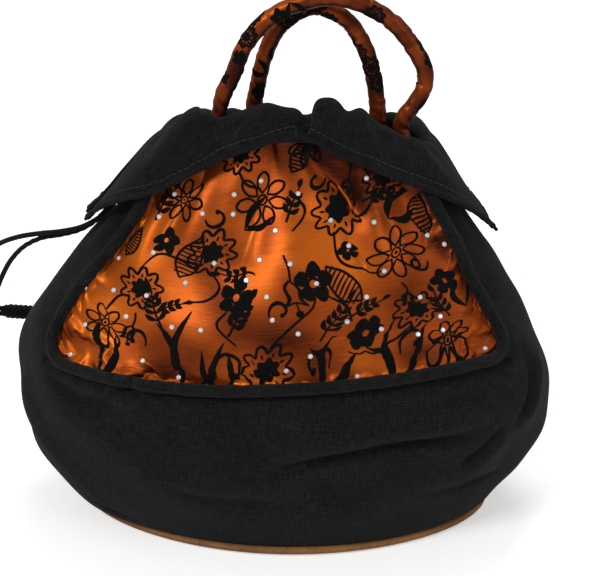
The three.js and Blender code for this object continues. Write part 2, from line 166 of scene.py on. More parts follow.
def crease(angle_deg, height, line, valley, lift, valley_width, lift_width):
    points = np.array(line, dtype=float)
    scale = math.radians(1) * GIRTH_SCALE
    middle = points[:, 0].mean()
    across = wrapped(angle_deg - middle) * scale
    best = np.full(across.shape, 1e9)
    side = np.zeros(across.shape)
    share = np.zeros(across.shape)
    line_x, line_y = (points[:, 0] - middle) * scale, points[:, 1]
    count = len(points) - 1
    for k in range(count):
        dx, dy = line_x[k + 1] - line_x[k], line_y[k + 1] - line_y[k]
        size = math.hypot(dx, dy)
        px, py = across - line_x[k], height - line_y[k]
        t = np.clip((px * dx + py * dy) / size ** 2, 0, 1)
        gap = np.hypot(px - t * dx, py - t * dy)
        nearer = gap < best
        best = np.where(nearer, gap, best)
        side = np.where(nearer, (dx * py - dy * px) / size, side)
        share = np.where(nearer, (k + t) / count, share)
    fade = smooth(0, 0.3, share) * smooth(1, 0.7, share)
    signed = np.where(side >= 0, best, -best)
    dip = -valley * np.exp(-((signed + 0.4 * valley_width) / valley_width) ** 2)
    hump = lift * np.exp(-((signed - lift_width * 0.8) / lift_width) ** 2)
    return fade * (dip + hump)


def relief(angle, height):
    """How far the slumped cloth stands off the plain outer face."""
    angle, height = np.broadcast_arrays(np.asarray(angle, dtype=float), np.asarray(height, dtype=float))
    degrees = np.degrees(angle)
    out = np.zeros(angle.shape)
    for fold in CREASES:
        out = out + crease(degrees, height, *fold)
    for size, turns, rise, start, full_height in WAVES:
        out += size * np.sin(turns * angle + rise * height + start) * smooth(4, full_height, height)
    beside = wrapped(degrees - BULGE_TURN) / BULGE_TURN_WIDTH
    above = (height - BULGE_HEIGHT) / BULGE_HEIGHT_WIDTH
    out += BULGE_DEPTH * np.exp(-beside ** 2 - above ** 2)
    gather = smooth(128, 176, height) * smooth(212, 196, height)
    out += gather * (1.2 * np.sin(13 * angle + 0.7) + 0.6 * np.sin(23 * angle + 2.2))
    out += crease(degrees, height, *POCKET) * smooth(212, 204, height)
    return out * smooth(0, 8, height)


# How far the slumped panel seam sits above its sewn height, by turn
SEAM_SLUMP = np.array([
    (-180, 1.0), (-150, -1.5), (-120, 0.5), (-90, 0), (-40, -1.0), (-15, -2.0), (5, 0.5), (28, 4.5),
    (50, 6.0), (63, 4.0), (90, 0), (125, 2.5), (155, 2.0), (180, 1.0),
])
SLUMP_REACH = 28.0


def slumped(angle, height):
    rise = spline(SEAM_SLUMP, wrapped(np.degrees(angle)))
    return height + rise * np.exp(-((height - SEAM_HEIGHT) / SLUMP_REACH) ** 2)


def body(angle, height, offset=0.0):
    angle, height = np.broadcast_arrays(np.asarray(angle, dtype=float), np.asarray(height, dtype=float))
    height = slumped(angle, height)
    stand = relief(angle, height) + offset
    return skin(angle, height) + skin_normal(angle, height) * stand[..., None]


# Meshes
def grid_normals(grid, closed=False):
    if closed:
        du = np.roll(grid, -1, axis=1) - np.roll(grid, 1, axis=1)
    else:
        du = np.gradient(grid, axis=1)
    return unit(np.cross(du, np.gradient(grid, axis=0)))


def add_mesh(name, points, faces, uvs=None, materials=(), face_materials=None):
    mesh = bpy.data.meshes.new(name)
    mesh.from_pydata((np.asarray(points) * MM).tolist(), [], [tuple(int(i) for i in f) for f in faces])
    mesh.polygons.foreach_set("use_smooth", np.ones(len(mesh.polygons), dtype=bool))
    if uvs is not None:
        layer = mesh.uv_layers.new(name="cloth")
        corner = np.zeros(len(mesh.loops), dtype=np.int32)
        mesh.loops.foreach_get("vertex_index", corner)
        layer.data.foreach_set("uv", np.asarray(uvs, dtype=np.float32)[corner].ravel())
    for material in materials:
        mesh.materials.append(material)
    if face_materials is not None:
        mesh.polygons.foreach_set("material_index", np.asarray(face_materials, dtype=np.int32))
    mesh.update()
    piece = bpy.data.objects.new(name, mesh)
    bpy.context.scene.collection.objects.link(piece)
    return piece


def lengths_along(path):
    return np.concatenate([[0], np.cumsum(np.linalg.norm(np.diff(path, axis=0), axis=-1))])


def ring_quads(rings, sides, base=0):
    quads = []
    for low in range(base, base + (rings - 1) * sides, sides):
        for c in range(sides):
            n = (c + 1) % sides
            quads.append((low + c, low + n, low + sides + n, low + sides + c))
    return quads


def tube_faces(rings, sides, base=0):
    """Faces of a stack of rings, with a flat cap at each end."""
    last = base + (rings - 1) * sides
    caps = [tuple(range(base, base + sides))[::-1], tuple(range(last, last + sides))]
    return ring_quads(rings, sides, base) + caps


def dress(piece, stands_for=None, rides="root"):
    """Puts a piece on its body, in the place of a frame node if it has one."""
    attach(piece, rides)
    if stands_for:
        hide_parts(stands_for)


def grid_uv(grid):
    across = lengths_along(grid[len(grid) // 2])
    up = np.linalg.norm(np.diff(grid, axis=0), axis=-1)
    up = np.vstack([np.zeros(grid.shape[1]), np.cumsum(up, axis=0)])
    return np.stack([np.broadcast_to(across, grid.shape[:2]) * MM, up * MM], axis=-1)


def cloth_piece(name, grid, thickness, material, rim_steps=2, closed=False):
    """A sheet with round edges. Rows run up and columns run towards +X, seen from outside."""
    rows, cols = grid.shape[:2]
    normals = grid_normals(grid, closed).reshape(-1, 3)
    outer = grid.reshape(-1, 3)
    inner = outer - normals * thickness
    uv = grid_uv(grid).reshape(-1, 2)
    points = [outer, inner]
    uvs = [uv, uv]
    index = np.arange(rows * cols).reshape(rows, cols)
    step = rows * cols
    faces = []
    spans = cols if closed else cols - 1
    for r in range(rows - 1):
        a, d = index[r], index[r + 1]
        for c in range(spans):
            n = (c + 1) % cols
            faces.append((a[c], a[n], d[n], d[c]))
            faces.append((a[c] + step, d[c] + step, d[n] + step, a[n] + step))
    total = 2 * step

    def rim(edge, inward):
        nonlocal total
        out = unit(outer[edge] - outer[inward])
        side = normals[edge]
        middle = (outer[edge] + inner[edge]) / 2
        rings = [np.asarray(edge)]
        for k in range(1, rim_steps + 1):
            turn = math.pi * k / (rim_steps + 1)
            ring = middle + thickness / 2 * (math.cos(turn) * side + math.sin(turn) * out)
            points.append(ring)
            uvs.append(uv[edge])
            rings.append(np.arange(total, total + len(edge)))
            total += len(edge)
        rings.append(np.asarray(edge) + step)
        for a, b in zip(rings[:-1], rings[1:]):
            for k in range(len(edge)):
                n = (k + 1) % len(edge)
                faces.append((a[k], b[k], b[n], a[n]))

    if closed:
        rim(index[0], index[1])
        rim(index[-1][::-1], index[-2][::-1])
    else:
        edge = np.concatenate([index[0, :-1], index[:-1, -1], index[-1, :0:-1], index[:0:-1, 0]])
        inward = np.concatenate([index[1, :-1], index[:-1, -2], index[-2, :0:-1], index[:0:-1, 1]])
        corner_ids = [0, cols - 1, cols + rows - 2, 2 * cols + rows - 3]
        inward[corner_ids] = [index[1, 1], index[1, -2], index[-2, -2], index[-2, 1]]
        rim(edge, inward)
    return add_mesh(name, np.vstack(points), faces, np.vstack(uvs), [material])


def frames_along(path):
    tangent = unit(np.gradient(path, axis=0))
    side = np.cross(tangent[0], (0.0, 0.0, 1.0))
    if np.linalg.norm(side) < 0.2:
        side = np.cross(tangent[0], (0.0, 1.0, 0.0))
    sides = []
    for t in tangent:
        side = side - t * np.dot(side, t)
        side = side / np.linalg.norm(side)
        sides.append(side)
    sides = np.array(sides)
    return tangent, sides, np.cross(tangent, sides)


def tube_points(path, radius, sides):
    """Rings of a tube. The radius may be a number or an array of a value for each ring and side."""
    tangent, side, up = frames_along(path)
    turn = np.arange(sides) * FULL_TURN / sides
    radius = np.broadcast_to(np.asarray(radius, dtype=float), (len(path), sides))
    spoke = side[:, None] * np.cos(turn)[None, :, None] + up[:, None] * np.sin(turn)[None, :, None]
    return path[:, None] + spoke * radius[..., None], tangent


def tube_piece(name, path, radius, sides, material, cap_rings=3):
    rings, tangent = tube_points(path, radius, sides)
    caps_low, caps_high = [], []
    for k in range(1, cap_rings + 1):
        turn = QUARTER * k / (cap_rings + 1)
        for ends, ring, centre, way in (
                (caps_low, rings[0], path[0], -tangent[0]), (caps_high, rings[-1], path[-1], tangent[-1])):
            reach = np.linalg.norm(ring - centre, axis=-1, keepdims=True)
            ends.append(centre + (ring - centre) * math.cos(turn) + way * reach * math.sin(turn) * 0.7)
    stack = np.array(caps_low[::-1] + list(rings) + caps_high)
    length = lengths_along(stack.mean(axis=1))
    around = np.arange(sides) / sides * FULL_TURN * np.mean(np.asarray(radius))
    uvs = np.stack(np.broadcast_arrays(around[None, :], length[:, None]), axis=-1) * MM
    faces = tube_faces(len(stack), sides)
    return add_mesh(name, stack.reshape(-1, 3), faces, uvs.reshape(-1, 2), [material])


CURVE_STEPS = 40


def smooth_path(points, count):
    """A centripetal curve through the points, with even steps."""
    points = np.asarray(points, dtype=float)
    gaps = np.sqrt(np.linalg.norm(np.diff(points, axis=0), axis=1))
    first, last = 2 * points[0] - points[1], 2 * points[-1] - points[-2]
    whole = np.vstack([first, points, last])
    knots = np.concatenate([[-gaps[0], 0], np.cumsum(gaps), [gaps.sum() + gaps[-1]]])
    fine = []
    for k in range(1, len(whole) - 2):
        t = np.linspace(knots[k], knots[k + 1], CURVE_STEPS, endpoint=False)[:, None]
        t0, t1, t2, t3 = knots[k - 1:k + 3]
        p0, p1, p2, p3 = whole[k - 1:k + 3]
        a1 = (t1 - t) / (t1 - t0) * p0 + (t - t0) / (t1 - t0) * p1
        a2 = (t2 - t) / (t2 - t1) * p1 + (t - t1) / (t2 - t1) * p2
        a3 = (t3 - t) / (t3 - t2) * p2 + (t - t2) / (t3 - t2) * p3
        b1 = (t2 - t) / (t2 - t0) * a1 + (t - t0) / (t2 - t0) * a2
        b2 = (t3 - t) / (t3 - t1) * a2 + (t - t1) / (t3 - t1) * a3
        fine.append((t2 - t) / (t2 - t1) * b1 + (t - t1) / (t2 - t1) * b2)
    line = np.vstack(fine + [points[-1:]])
    length = lengths_along(line)
    even = np.linspace(0, length[-1], count)
    return np.stack([np.interp(even, length, line[:, k]) for k in range(line.shape[1])], axis=-1)


def path_length(path):
    return float(np.linalg.norm(np.diff(path, axis=0), axis=1).sum())


STITCH_SIDES = 6
STITCH_RINGS = 6
STITCH_PITCH = 3.4
STITCH_LENGTH = 2.5
STITCH_RADIUS = 0.24
STITCH_ARCH = 0.4
STITCH_SINK = 0.12


def stitch_piece(name, line, normals, material):
    """A row of short thread stitches on a line of the cloth."""
    along = lengths_along(line)
    arch = np.sin(np.linspace(0, math.pi, STITCH_RINGS))[:, None]
    points, faces = [], []
    for start in np.arange(2.0, along[-1] - 4.0, STITCH_PITCH):
        places = np.linspace(start, start + STITCH_LENGTH, STITCH_RINGS)
        spine = np.stack([np.interp(places, along, line[:, k]) for k in range(3)], axis=-1)
        out = np.stack([np.interp(places, along, normals[:, k]) for k in range(3)], axis=-1)
        rings, _ = tube_points(spine + out * (STITCH_ARCH * arch - STITCH_SINK), STITCH_RADIUS, STITCH_SIDES)
        faces += tube_faces(STITCH_RINGS, STITCH_SIDES, len(points))
        points += rings.reshape(-1, 3).tolist()
    return add_mesh(name, points, faces, None, [material])


# Materials
def new_material(name, **sockets):
    material = bpy.data.materials.new(name)
    material.use_nodes = True
    shader = material.node_tree.nodes["Principled BSDF"]
    for socket, value in sockets.items():
        shader.inputs[socket.replace("_", " ")].default_value = value
    return material, material.node_tree, shader


def node(tree, kind, **settings):
    made = tree.nodes.new(kind)
    for key, value in settings.items():
        if key in made.inputs:
            made.inputs[key].default_value = value
        else:
            setattr(made, key, value)
    return made


def object_place(tree):
    return node(tree, "ShaderNodeTexCoord").outputs["Object"]


def scaled(tree, source, scale):
    mapping = node(tree, "ShaderNodeMapping")
    mapping.inputs["Scale"].default_value = scale
    tree.links.new(source, mapping.inputs["Vector"])
    return mapping.outputs["Vector"]


def noise(tree, vector, scale, detail=4.0, rough=0.55):
    made = node(tree, "ShaderNodeTexNoise", Scale=scale, Detail=detail, Roughness=rough)
    tree.links.new(vector, made.inputs["Vector"])
    return made.outputs["Fac"]


def ramp(tree, source, *stops):
    made = node(tree, "ShaderNodeValToRGB")
    elements = made.color_ramp.elements
    while len(elements) < len(stops):
        elements.new(0.5)
    for element, (place, colour) in zip(elements, stops):
        element.position = place
        element.color = (*colour, 1)
    tree.links.new(source, made.inputs["Fac"])
    return made.outputs["Color"]


def math_node(tree, operation, *values):
    made = node(tree, "ShaderNodeMath", operation=operation)
    for socket, value in zip(made.inputs, values):
        if isinstance(value, (int, float)):
            socket.default_value = value
        else:
            tree.links.new(value, socket)
    return made.outputs[0]


def finish(tree, shader, colour, height, strength, distance):
    """Links a material's colour and its bump."""
    tree.links.new(colour, shader.inputs["Base Color"])
    made = node(tree, "ShaderNodeBump", Strength=strength, Distance=distance)
    tree.links.new(height, made.inputs["Height"])
    tree.links.new(made.outputs["Normal"], shader.inputs["Normal"])


def woven_height(tree, uv, pitch):
    """Threads over and under each other, from two crossed waves."""
    parts = []
    for direction in ("X", "Y"):
        wave = node(tree, "ShaderNodeTexWave", bands_direction=direction, Scale=math.pi / (10 * pitch),
                    Distortion=1.2, Detail=1.0)
        wave.inputs["Detail Scale"].default_value = 0.6
        tree.links.new(uv, wave.inputs["Vector"])
        parts.append(wave.outputs["Fac"])
    return math_node(tree, "MULTIPLY", parts[0], parts[1])


def linen(name, dark, light, pitch=0.0007, sheen=0.06):
    material, tree, shader = new_material(
        name, Roughness=0.92, Specular_IOR_Level=0.12, Sheen_Weight=sheen, Sheen_Roughness=0.45,
        Sheen_Tint=(0.55, 0.56, 0.6, 1))
    uv = node(tree, "ShaderNodeUVMap").outputs["UV"]
    place = object_place(tree)
    weave = woven_height(tree, uv, pitch)
    slub_a = noise(tree, scaled(tree, uv, (160, 1400, 1)), 1.0, 3.0)
    slub_b = noise(tree, scaled(tree, uv, (1400, 160, 1)), 1.0, 3.0)
    slub = math_node(tree, "MULTIPLY", slub_a, slub_b)
    worn = noise(tree, place, 34.0, 5.0)
    tone = math_node(tree, "MULTIPLY_ADD", slub, 1.9, -0.12)
    tone = math_node(tree, "MULTIPLY", tone, math_node(tree, "ADD", worn, 0.5))
    lint = noise(tree, scaled(tree, place, (420, 420, 420)), 1.0, 2.0)
    speck = math_node(tree, "GREATER_THAN", lint, 0.775)
    tone = math_node(tree, "MULTIPLY_ADD", speck, 0.55, tone)
    colour = ramp(tree, tone, (0.18, dark), (0.75, light))
    height = math_node(tree, "MULTIPLY_ADD", slub, 1.6, weave)
    finish(tree, shader, colour, height, 0.7, 0.0004)
    return material


def satin(name, bright, middle, dark, painted_light_way, patch_scale):
    """Satin with painted light and shade: the colour is lighter where the cloth faces a fixed light way and
    darker where it faces away, with random patches and slub lines across.
    """
    material, tree, shader = new_material(
        name, Roughness=0.42, Metallic=0.62, Specular_IOR_Level=0.06, Anisotropic=0.5, Sheen_Weight=0.05,
        Sheen_Roughness=0.35, Sheen_Tint=(1.0, 0.34, 0.06, 1))
    uv = node(tree, "ShaderNodeUVMap").outputs["UV"]
    coords = node(tree, "ShaderNodeTexCoord")
    place = coords.outputs["Object"]
    # Painted light and shade: the cloth's facing against the fixed light way lightens faces turned towards
    # it and darkens faces turned away.
    turn = node(tree, "ShaderNodeVectorMath", operation="DOT_PRODUCT")
    tree.links.new(coords.outputs["Normal"], turn.inputs[0])
    turn.inputs[1].default_value = painted_light_way
    patches = noise(tree, place, patch_scale, 2.0, 0.5)
    slub = noise(tree, scaled(tree, uv, (60, 1500, 1)), 1.0, 4.0)
    warp = noise(tree, scaled(tree, uv, (2400, 90, 1)), 1.0, 2.0)
    # Tone: painted light and shade from the facing, then random patches and slub lines.
    tone = math_node(tree, "MULTIPLY_ADD", turn.outputs["Value"], 0.62, 0.02)
    tone = math_node(tree, "MULTIPLY_ADD", patches, 1.25, tone)
    tone = math_node(tree, "MULTIPLY_ADD", slub, 0.3, tone)
    tone = math_node(tree, "SUBTRACT", tone, 0.44)
    colour = ramp(tree, tone, (0.24, dark), (0.52, middle), (0.9, bright))
    height = math_node(tree, "MULTIPLY_ADD", warp, 0.4, slub)
    finish(tree, shader, colour, height, 0.3, 0.0002)
    return material


def flock_material():
    material, tree, shader = new_material(
        "black_flock", Roughness=1.0, Specular_IOR_Level=0.05, Sheen_Weight=0.03, Sheen_Roughness=0.6,
        Sheen_Tint=(0.5, 0.45, 0.42, 1))
    place = object_place(tree)
    fuzz = noise(tree, place, 1900.0, 2.0)
    colour = ramp(tree, fuzz, (0.3, (0.0015, 0.0015, 0.0015)), (0.8, (0.009, 0.008, 0.0075)))
    finish(tree, shader, colour, fuzz, 0.5, 0.0002)
    return material


def stone_material(name, colour):
    material, tree, shader = new_material(
        name, Roughness=0.1, Metallic=0.25, Specular_IOR_Level=0.8, Coat_Weight=0.6, Coat_Roughness=0.05)
    place = object_place(tree)
    # Painted glints: random pale patches in the stone colour stand in for iridescent reflections.
    painted_glints = noise(tree, place, 700.0, 1.0)
    painted_glint_colour = tuple(lerp(c, 1.0, 0.5) for c in colour)
    tree.links.new(ramp(tree, painted_glints, (0.35, colour), (0.65, painted_glint_colour)), shader.inputs["Base Color"])
    return material


def brown_leather():
    material, tree, shader = new_material("brown_base", Roughness=0.62, Specular_IOR_Level=0.35)
    place = object_place(tree)
    grain = noise(tree, place, 520.0, 4.0)
    wear = noise(tree, place, 40.0, 5.0)
    worn = math_node(tree, "MULTIPLY", wear, 0.6)
    tone = math_node(tree, "MULTIPLY_ADD", grain, 0.5, worn)
    colour = ramp(tree, tone, (0.35, (0.11, 0.045, 0.012)), (0.75, (0.33, 0.15, 0.045)))
    finish(tree, shader, colour, grain, 0.4, 0.0003)
    return material


def plain_grain(name, dark, light, scale, roughness):
    material, tree, shader = new_material(name, Roughness=roughness)
    place = object_place(tree)
    grain = noise(tree, place, scale, 4.0)
    finish(tree, shader, ramp(tree, grain, (0.3, dark), (0.7, light)), grain, 0.3, 0.0003)
    return material


BLACK = linen("black_linen", (0.0026, 0.0026, 0.003), (0.0175, 0.0172, 0.0182))
LINING = linen("lining_cloth", (0.012, 0.012, 0.014), (0.035, 0.035, 0.04), 0.0005, 0.1)
# The vector after the three colours is the way the painted light comes from, for each satin.
SATIN = satin("copper_satin", (0.7, 0.155, 0.012), (0.31, 0.055, 0.008), (0.036, 0.007, 0.004),
              (0.12, 0.0, 0.62), 21.0)
HANDLE_SATIN = satin("handle_satin", (0.34, 0.066, 0.01), (0.15, 0.028, 0.008), (0.03, 0.008, 0.005),
                     (-0.3, -0.2, 0.5), 60.0)
FLOCK = flock_material()
STONES = [stone_material("stone_" + name, colour) for name, colour in (
    ("clear", (0.72, 0.72, 0.75)), ("rose", (0.78, 0.58, 0.66)), ("green", (0.5, 0.72, 0.56)),
    ("blue", (0.45, 0.68, 0.8)))]
BROWN = brown_leather()
CORD = linen("black_cord", (0.003, 0.003, 0.003), (0.015, 0.015, 0.016), 0.0004, 0.06)
THREAD = plain_grain("black_thread", (0.006, 0.006, 0.006), (0.02, 0.02, 0.021), 3000.0, 0.6)
BOARD = plain_grain("base_board_grey", (0.2, 0.18, 0.15), (0.32, 0.29, 0.25), 300.0, 0.9)
CORE = plain_grain("handle_core_plastic", (0.5, 0.48, 0.44), (0.62, 0.6, 0.55), 120.0, 0.5)


# Camera at the photograph's angle: its width and its focal length in pixels
PHOTO_WIDTH = 592
FOCAL_LENGTH = 1388.94
SENSOR_WIDTH = 36.0
CAMERA_PLACE = Vector((0.0399, -0.6335, 0.4165))
CAMERA_TARGET = Vector((0.00665, 0.0, 0.12071))
camera_data = bpy.data.cameras.new("camera")
camera = bpy.data.objects.new("camera", camera_data)
bpy.context.scene.collection.objects.link(camera)
camera_data.sensor_width = SENSOR_WIDTH
camera_data.lens = SENSOR_WIDTH * FOCAL_LENGTH / PHOTO_WIDTH
camera.location = CAMERA_PLACE
camera.rotation_euler = (CAMERA_TARGET - CAMERA_PLACE).to_track_quat("-Z", "Y").to_euler()
bpy.context.scene.camera = camera


# Drawstring: two free strands of one braided cord, from the tunnel's slit to the wrapped end
UPPER_ROUTE = [
    (-49.8, -15.8, 199.4), (-54.2, -13.6, 197.4), (-59.1, -11.2, 193.5), (-64.4, -9.0, 188.0),
    (-70.4, -7.0, 181.1), (-76.9, -5.3, 173.2), (-83.6, -3.7, 165.2), (-91.0, -2.6, 157.8),
    (-100.0, -2.2, 152.6), (-110.5, -2.2, 150.0), (-121.0, -2.0, 148.6), (-132.5, -1.0, 146.0),
    (-143.6, 2.0, 140.6), (-152.6, 6.4, 132.0), (-157.8, 10.6, 121.0), (-158.8, 13.0, 111.0),
    (-157.0, 14.6, 103.0), (-152.8, 17.1, 97.5), (-149.0, 19.9, 95.9),
]
LOWER_ROUTE = [
    (-52.5, 16.7, 194.1), (-57.0, 14.3, 192.5), (-61.7, 11.7, 189.4), (-67.0, 9.3, 184.2),
    (-72.9, 7.2, 177.5), (-79.5, 5.5, 169.8), (-86.6, 3.9, 161.6), (-93.9, 2.7, 154.0),
    (-102.0, 1.6, 149.4), (-111.0, 0.9, 147.0), (-121.0, 0.8, 145.0), (-130.2, 1.2, 140.2),
    (-138.0, 3.0, 132.0), (-144.2, 6.2, 121.8), (-149.2, 9.4, 111.4), (-153.4, 11.2, 102.2),
    (-155.2, 13.2, 96.6), (-153.7, 16.2, 94.1), (-149.8, 19.3, 93.1),
]
WRAP_START = np.array((-149.2, 19.8, 94.4))
WRAP_END = np.array((-125.6, 37.4, 84.4))
WRAP_STEPS, WRAP_SIDES = 60, 18
WRAP_RADIUS, WRAP_RIDGE, WRAP_TURNS = 3.7, 0.25, 11
STRAND_STEPS = 260
LOOP_STEPS = 300
LOOP_LIFT = 2.35
BRAID_SIDES = 12
BRAID_PITCH = 4.2


def braided(length, count):
    along = np.linspace(0, length, count)[:, None] / BRAID_PITCH * FULL_TURN
    turn = np.arange(BRAID_SIDES)[None, :] * FULL_TURN / BRAID_SIDES
    over = np.maximum(np.cos(3 * turn + along), np.cos(3 * turn - along))
    return CORD_RADIUS * (0.93 + 0.09 * over)


def braided_cord(name, path):
    return tube_piece(name, path, braided(path_length(path), len(path)), BRAID_SIDES, CORD)


end_path = smooth_path([lerp(WRAP_START, WRAP_END, t) for t in (0, 0.33, 0.67, 1)], WRAP_STEPS)
end_share = np.linspace(0, 1, WRAP_STEPS)[:, None]
end_turn = np.arange(WRAP_SIDES)[None, :] * FULL_TURN / WRAP_SIDES
end_radius = WRAP_RADIUS + WRAP_RIDGE * np.cos(end_share * WRAP_TURNS * FULL_TURN + end_turn)
end_radius = end_radius - 0.7 * smooth(0.1, 0, end_share) - 0.5 * smooth(0.9, 1, end_share)
end_wrap = tube_piece("drawstring_end_wrap_cloth", end_path, end_radius, WRAP_SIDES, BLACK, 4)
dress(end_wrap, "drawstring_end_wrap")
for route_name, route in (("upper", UPPER_ROUTE), ("lower", LOWER_ROUTE)):
    line = smooth_path(route, STRAND_STEPS)
    strand = braided_cord(f"drawstring_{route_name}_strand_cord", line)
    dress(strand, f"drawstring_{route_name}_strand")

# The cord's length inside the tunnels
loop_angles = np.linspace(math.radians(-58), math.radians(238), LOOP_STEPS)
loop_heights = top_height(loop_angles) - CASING_DROP
loop_line = skin(loop_angles, loop_heights) + skin_normal(loop_angles, loop_heights) * LOOP_LIFT
dress(braided_cord("drawstring_loop_cord", loop_line), "drawstring_loop")


# Body cloth: panels, lower bands, gussets
SEAM_SCALE = 1 / float(turn_for(1.0, SEAM_ANGLE, SEAM_HEIGHT))
SEAM_HALF = SEAM_ANGLE * SEAM_SCALE
CORNER_START = SEAM_HALF - CORNER_RADIUS
CORNER_CENTRE = SEAM_HEIGHT + CORNER_RADIUS
PANEL_TOP_DROP = 4.5


def panel_places(cols, rows, facing):
    across = np.linspace(-1, 1, cols)[None, :]
    up = np.linspace(0, 1, rows)[:, None]
    length = across * (SEAM_HALF - EDGE_INSET)
    past = np.maximum(0, np.abs(length) - CORNER_START)
    radius = CORNER_RADIUS - EDGE_INSET
    bottom = SEAM_HEIGHT + EDGE_INSET + radius - np.sqrt(np.maximum(0, radius ** 2 - past ** 2))
    top = top_height(facing + across * SEAM_ANGLE) - PANEL_TOP_DROP
    height = lerp(bottom, top, up)
    limit = SEAM_ANGLE - turn_for(EDGE_INSET, SEAM_ANGLE, height)
    return facing + across * limit, height


def edge_share(cols, rows):
    across = np.abs(np.linspace(-1, 1, cols))[None, :]
    up = np.linspace(0, 1, rows)[:, None]
    return np.minimum(np.minimum((1 - across) * 4.0, up * 4.0), (1 - up) * 4.0)


def puckers(angle, height, facing):
    """Small gathers at the panel's seam, fading into the cloth."""
    turn = angle - facing
    low = smooth(132, 104, height)
    edge = smooth(36, 56, np.degrees(np.abs(turn)))
    out = low * (1.0 * np.sin(31 * turn + 0.8) + 0.8 * np.sin(53 * turn + 2.0))
    return out + edge * (0.9 * np.sin(0.32 * height + 5 * turn) + 0.7 * np.sin(0.55 * height + 1.0))


# Slack folds of the panels, in the same form as the body's creases
PANEL_FOLDS = [
    ([(-34, 110), (-20, 119), (-4, 111)], 2.6, 2.6, 4.5, 8.0),
    ([(6, 112), (20, 124), (40, 115)], 2.8, 2.8, 4.5, 9.0),
    ([(38, 150), (47, 134), (50, 117)], 2.6, 2.4, 4.5, 8.0),
    ([(-52, 152), (-45, 136), (-38, 121)], 2.6, 2.4, 4.5, 8.0),
    ([(-14, 182), (-10, 160), (-2, 140)], 2.0, 2.2, 5.0, 9.0),
    ([(30, 168), (22, 152), (12, 138)], 2.2, 2.4, 5.0, 9.0),
]
PANEL_COLS, PANEL_ROWS = 101, 77
PANEL_CLOTH = 1.0
PANEL_TUCK = 0.9
PANEL_OUT, PANEL_IN = 9, 1.8
SIM_FRAMES = 28
SLACK_SATIN = {
    "quality": 6, "mass": 0.15, "tension_stiffness": 12, "compression_stiffness": 12, "shear_stiffness": 4,
    "bending_stiffness": 2.2, "air_damping": 3, "vertex_group_mass": "pins", "shrink_min": -0.07,
    "use_pressure": True, "uniform_pressure_force": 0.45,
}
SIM_GRAVITY = 0.25


def relaxed(grid, name):
    """The panel as slack cloth held along its seams, from a cloth simulation."""
    rows, cols = grid.shape[:2]
    index = np.arange(rows * cols).reshape(rows, cols)
    quads = np.stack([index[:-1, :-1], index[:-1, 1:], index[1:, 1:], index[1:, :-1]], axis=-1)
    piece = add_mesh(name + "_slack", grid.reshape(-1, 3), quads.reshape(-1, 4))
    pins = piece.vertex_groups.new(name="pins")
    held = np.concatenate([index[0], index[-1], index[1:-1, 0], index[1:-1, -1]])
    pins.add([int(i) for i in held], 1.0, "REPLACE")
    cloth = piece.modifiers.new("cloth", "CLOTH")
    for setting, value in SLACK_SATIN.items():
        setattr(cloth.settings, setting, value)
    cloth.settings.effector_weights.gravity = SIM_GRAVITY
    cloth.collision_settings.use_collision = False
    cloth.point_cache.frame_start = 1
    cloth.point_cache.frame_end = SIM_FRAMES
    scene = bpy.context.scene
    for number in range(1, SIM_FRAMES + 1):
        scene.frame_set(number)
    shaped = piece.evaluated_get(bpy.context.evaluated_depsgraph_get())
    places = np.zeros(len(shaped.data.vertices) * 3)
    shaped.data.vertices.foreach_get("co", places)
    result = places.reshape(rows, cols, 3) / MM
    mesh = piece.data
    bpy.data.objects.remove(piece)
    bpy.data.meshes.remove(mesh)
    scene.frame_set(1)
    return result


def finer(grid):
    """Twice the rows and columns, with smooth points between."""
    def halfway(values):
        padded = np.concatenate([2 * values[:1] - values[1:2], values, 2 * values[-1:] - values[-2:-1]])
        return (9 * (padded[1:-2] + padded[2:-1]) - padded[:-3] - padded[3:]) / 16

    def doubled(values):
        out = np.zeros((2 * len(values) - 1, *values.shape[1:]))
        out[::2] = values
        out[1::2] = halfway(values)
        return out
    return doubled(doubled(grid).swapaxes(0, 1)).swapaxes(0, 1)


def panel_grid(facing, name):
    angle, height = panel_places(PANEL_COLS, PANEL_ROWS, facing)
    inside = np.clip(edge_share(PANEL_COLS, PANEL_ROWS), 0, 1)
    sunk = -PANEL_TUCK + PANEL_TUCK * inside
    plain = body(angle, height, sunk)
    slack = puckers(angle, height, facing)
    for fold in PANEL_FOLDS:
        slack = slack + crease(np.degrees(angle - facing), height, *fold)
    grid = body(angle, height, sunk + slack * np.minimum(1, 2 * inside))
    grid = relaxed(grid, name)
    normals = grid_normals(plain)
    moved = grid - plain
    stand = (moved * normals).sum(axis=-1, keepdims=True)
    limit = np.where(stand > 0, PANEL_OUT, PANEL_IN)
    return finer(plain + moved + normals * (limit * np.tanh(stand / limit) - stand))


BAND_COLS, BAND_ROWS = 201, 63
GUSSET_COLS, GUSSET_ROWS = 61, 81
panel_grids = {}
for side, facing in SIDES:
    grid = panel_grid(facing, side)
    panel_grids[side] = grid
    panel = cloth_piece(f"{side}_panel_cloth", grid, PANEL_CLOTH, SATIN, 1)
    dress(panel, f"{side}_panel")

for side, facing in SIDES:
    turn = np.linspace(-QUARTER, QUARTER, BAND_COLS)[None, :]
    past = np.abs(turn) * SEAM_SCALE - CORNER_START
    radius = CORNER_RADIUS + EDGE_INSET
    dip = np.where(past <= 0, radius, np.sqrt(np.maximum(0, radius ** 2 - np.maximum(past, 0) ** 2)))
    top = np.minimum(CORNER_CENTRE - dip, SEAM_HEIGHT - 0.1)
    up = np.linspace(0, 1, BAND_ROWS)[:, None]
    height = lerp(BASE_HEIGHT - 0.6, top, up)
    angle = facing + np.broadcast_to(turn, height.shape)
    tuck = -1.6 * smooth(9, 3, height) - 1.6 * smooth(0.93, 0.99, up) * (np.abs(turn) < SEAM_ANGLE)
    band = cloth_piece(f"{side}_lower_band_cloth", body(angle, height, tuck), CLOTH, BLACK)
    dress(band, f"{side}_lower_band")

